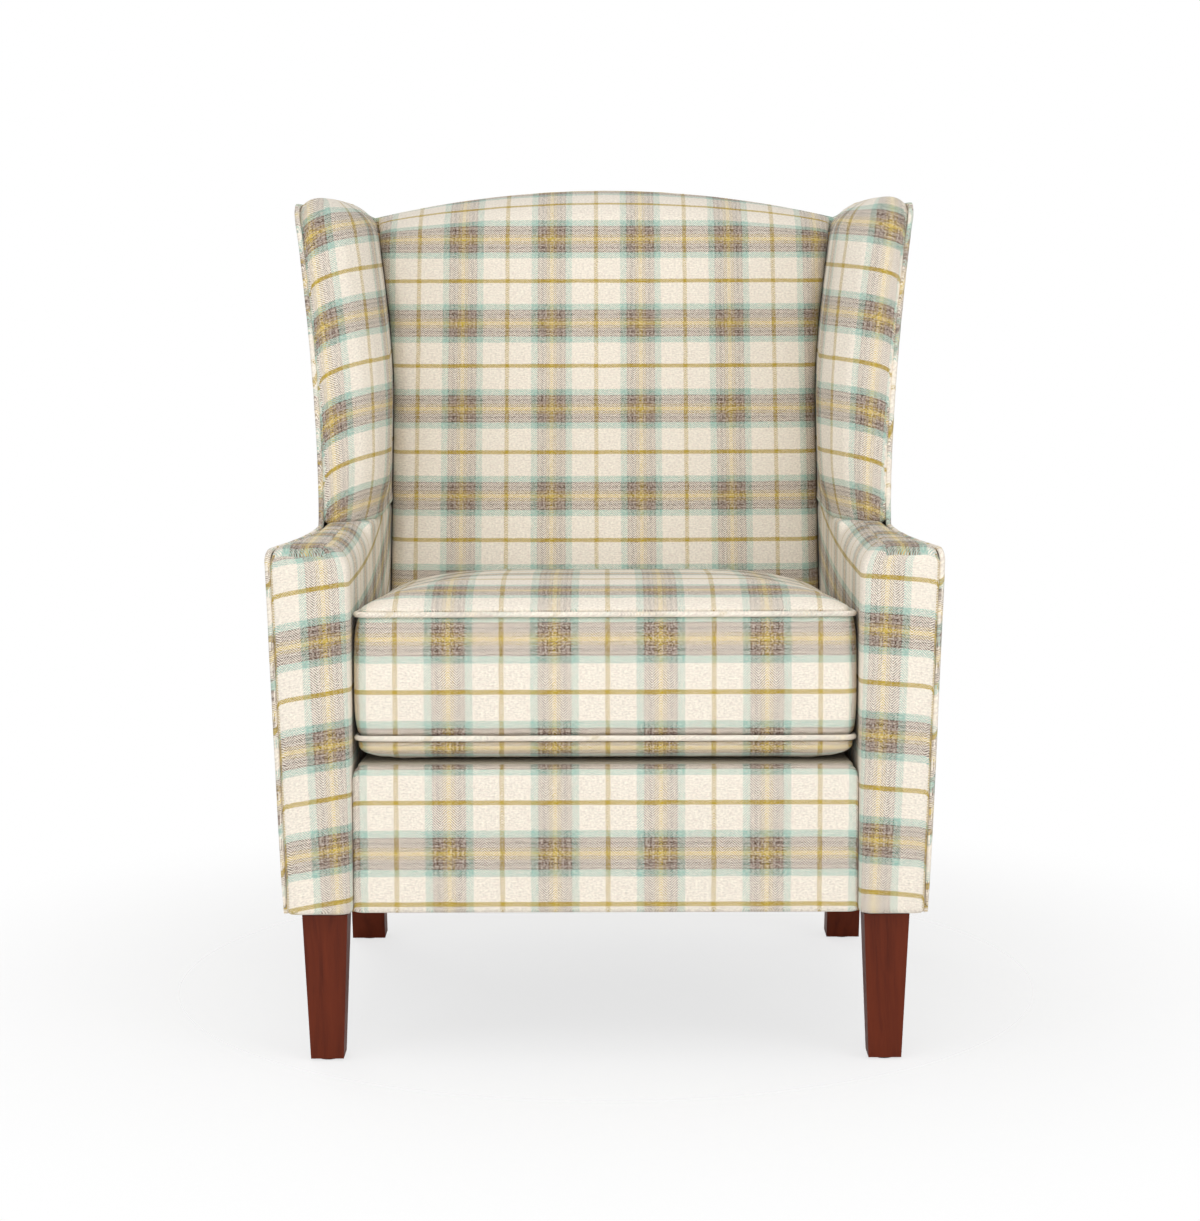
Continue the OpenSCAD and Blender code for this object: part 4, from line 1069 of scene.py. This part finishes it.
class CHAIR_OT_deck(bpy.types.Operator):
    """Makes the seat deck, the back's foam and webbing, and the dust cover"""

    bl_idname = "chair.deck"
    bl_label = "Make Deck and Webbing"

    def execute(self, context):
        panel_piece("padded_seat_deck", "seat_deck", "Deck cloth", edge=0.005)
        panel_piece("foam_of_back", "back_foam", "Open foam", edge=0.004)
        self.webbing()
        self.dust_cover()
        return {"FINISHED"}

    def webbing(self):
        bm = flat_solid("back_webbing")
        softened_edges(bm, [e for e in bm.edges if e.calc_length() > 0.1], 0.0007, 2)
        bmesh.ops.triangulate(bm, faces=bm.faces)
        place_piece("straps_of_back_webbing", bm, "frame", "Webbing", ("back_webbing",), smooth=False)

    def dust_cover(self):
        bm = flat_solid("dust_cover")
        bmesh.ops.triangulate(bm, faces=bm.faces)
        area = sum(face.calc_area() for face in bm.faces if face.normal.z < -0.9)
        piece = place_piece(
            "stretched_dust_cover", bm, "frame", "Dust cloth", ("dust_cover",), smooth=False
        )


SIDE_TIMBERS = (
    ("front_leg", "Stained wood", 0.0016, 3), ("rear_leg", "Stained wood", 0.0016, 3),
    ("side_rail", "Timber Y", 0.0015, 2), ("arm_rail", "Timber Y", 0.0015, 2),
    ("arm_post", "Timber Z", 0.0015, 2), ("back_post", "Timber Z", 0.0015, 2), ("wing_board", "Timber Z", 0.001, 2),
)


class CHAIR_OT_timber(bpy.types.Operator):
    """Stains the legs and finishes the frame's timber"""

    bl_idname = "chair.timber"
    bl_label = "Finish Timber"

    def execute(self, context):
        for hand in SIDES:
            for part, material, width, segments in SIDE_TIMBERS:
                softened(part + "_" + hand, material, width, segments)
        for node in ("front_rail", "rear_rail", "crest_rail", "lower_back_rail"):
            softened(node, "Timber X", 0.0015)
        softened("corner_blocks", "Timber Z", 0.0012)
        return {"FINISHED"}


class CHAIR_OT_hardware(bpy.types.Operator):
    """Finishes the screws, bolts, plates, springs, clips and glides"""

    bl_idname = "chair.hardware"
    bl_label = "Finish Hardware"

    def execute(self, context):
        for node in ("leg_plates", "hanger_bolts", "corner_screws", "spring_clips"):
            dressed(node, "Steel")
        dressed("seat_springs", "Spring steel")
        dressed("leg_glides", "Glide plastic")
        dressed("zip_slider", "Zip metal")
        return {"FINISHED"}


AMBIENT = 0.38
# Name, place, target, size and share of the power
LAMPS = (
    ("Front lamp", (-0.3, -3.9, 1.2), (0, 0, 0.6), 2.2, 0.66),
    ("Left lamp", (-2.4, -2.4, 1.7), (0, 0, 0.6), 1.8, 0.3),
    ("Right lamp", (2.4, -2.4, 1.7), (0, 0, 0.6), 1.8, 0.4),
    ("Top lamp", (0.1, -1.3, 2.9), (0, 0.25, 0.7), 2.4, 0.6),
    ("Rear lamp", (-1.6, 3.0, 1.8), (0, 0, 0.5), 1.8, 0.5),
)


class CHAIR_OT_studio(bpy.types.Operator):
    """Sets up the pale floor, the lamps and the camera"""

    bl_idname = "chair.studio"
    bl_label = "Set Up Studio"

    def execute(self, context):
        self.floor()
        for lamp in LAMPS:
            self.lamp(*lamp)
        self.world()
        self.camera()
        return {"FINISHED"}

    def floor(self):
        """A pale floor, which the camera sees fade out round the chair."""
        m = Material("Studio floor")
        m.set({"Base Color": tuple(settings("studio").floor), "Roughness": 0.8, "Specular IOR Level": 0.1})
        reach = m.node("VectorMath", {0: m.object_point()}, operation="LENGTH").outputs["Value"]
        limits = {"Value": reach, "From Min": 0.45, "From Max": 1.1, "To Min": 0.72}
        fade = m.node("MapRange", limits, interpolation_type="SMOOTHSTEP").outputs["Result"]
        seen = m.math("MULTIPLY", fade, m.node("LightPath").outputs["Is Camera Ray"])
        m.cover("Material Output", seen, m.shader, m.node("BsdfTransparent"))
        bm = bmesh.new()
        bmesh.ops.create_grid(bm, x_segments=4, y_segments=4, size=3)
        floor = new_object("studio_floor", new_mesh("studio_floor", bm))
        floor.data.materials.append(m.material)

    def lamp(self, name, place, target, size, share):
        light = bpy.data.lights.new(name, "AREA")
        configure(light, energy=settings("studio").lamp * share, shape="SQUARE", size=size)
        lamp = new_object(name, light)
        lamp.location = place
        lamp.rotation_euler = (Vector(target) - Vector(place)).to_track_quat("-Z", "Y").to_euler()

    def world(self):
        """A white backdrop, which lights the chair more softly than it shows."""
        world = bpy.data.worlds.new("Studio")
        w = Wiring(world)
        white = w.nodes["Background"]
        w.feed(white.inputs["Color"], (1, 1, 1))
        soft = w.node("Background", {"Color": (1, 1, 1), "Strength": AMBIENT})
        rays = w.node("LightPath").outputs
        w.cover("World Output", w.math("MAXIMUM", rays["Is Camera Ray"], rays["Is Glossy Ray"]), soft, white)
        bpy.context.scene.world = world

    def camera(self):
        studio = settings("studio")
        lens = bpy.data.cameras.new("Studio camera")
        lens.lens, lens.sensor_width, lens.shift_x = 84.3, 36, -0.0041
        camera = new_object("Studio camera", lens)
        camera.location = (0, -studio.camera_distance, studio.camera_height)
        camera.rotation_mode = "ZXY"
        camera.rotation_euler = (math.pi / 2 - studio.tilt, 0, studio.roll)
        bpy.context.scene.camera = camera
        bpy.context.scene.view_settings.view_transform = "Standard"


STEPS = (
    CHAIR_OT_finishes, CHAIR_OT_arms, CHAIR_OT_wings, CHAIR_OT_back, CHAIR_OT_outside_panels,
    CHAIR_OT_pipings, CHAIR_OT_seat_cushion, CHAIR_OT_cushion_inside, CHAIR_OT_deck, CHAIR_OT_timber,
    CHAIR_OT_hardware, CHAIR_OT_studio,
)


class CHAIR_PT_workshop(bpy.types.Panel):
    bl_idname = "CHAIR_PT_workshop"
    bl_label = "Fireside Chair"
    bl_space_type = "VIEW_3D"
    bl_region_type = "UI"
    bl_category = "Fireside Chair"

    def draw(self, context):
        for step in STEPS:
            self.layout.operator(step.bl_idname)
        for group in SETTINGS:
            box = self.layout.box()
            for key in SETTINGS[group].__annotations__:
                box.prop(settings(group), key)


SETTINGS = {"cloth": ClothSettings, "timber": TimberSettings, "padding": PaddingSettings, "studio": StudioSettings}
CLASSES = (*SETTINGS.values(), *STEPS, CHAIR_PT_workshop)


def register():
    for kind in CLASSES:
        bpy.utils.register_class(kind)
    for group, kind in SETTINGS.items():
        setattr(bpy.types.Scene, "chair_" + group, bpy.props.PointerProperty(type=kind))


def unregister():
    for group in SETTINGS:
        delattr(bpy.types.Scene, "chair_" + group)
    for kind in reversed(CLASSES):
        bpy.utils.unregister_class(kind)


def main():
    register()
    for step in STEPS:
        getattr(bpy.ops.chair, step.bl_idname.removeprefix("chair."))()


if __name__ == "__main__":
    main()
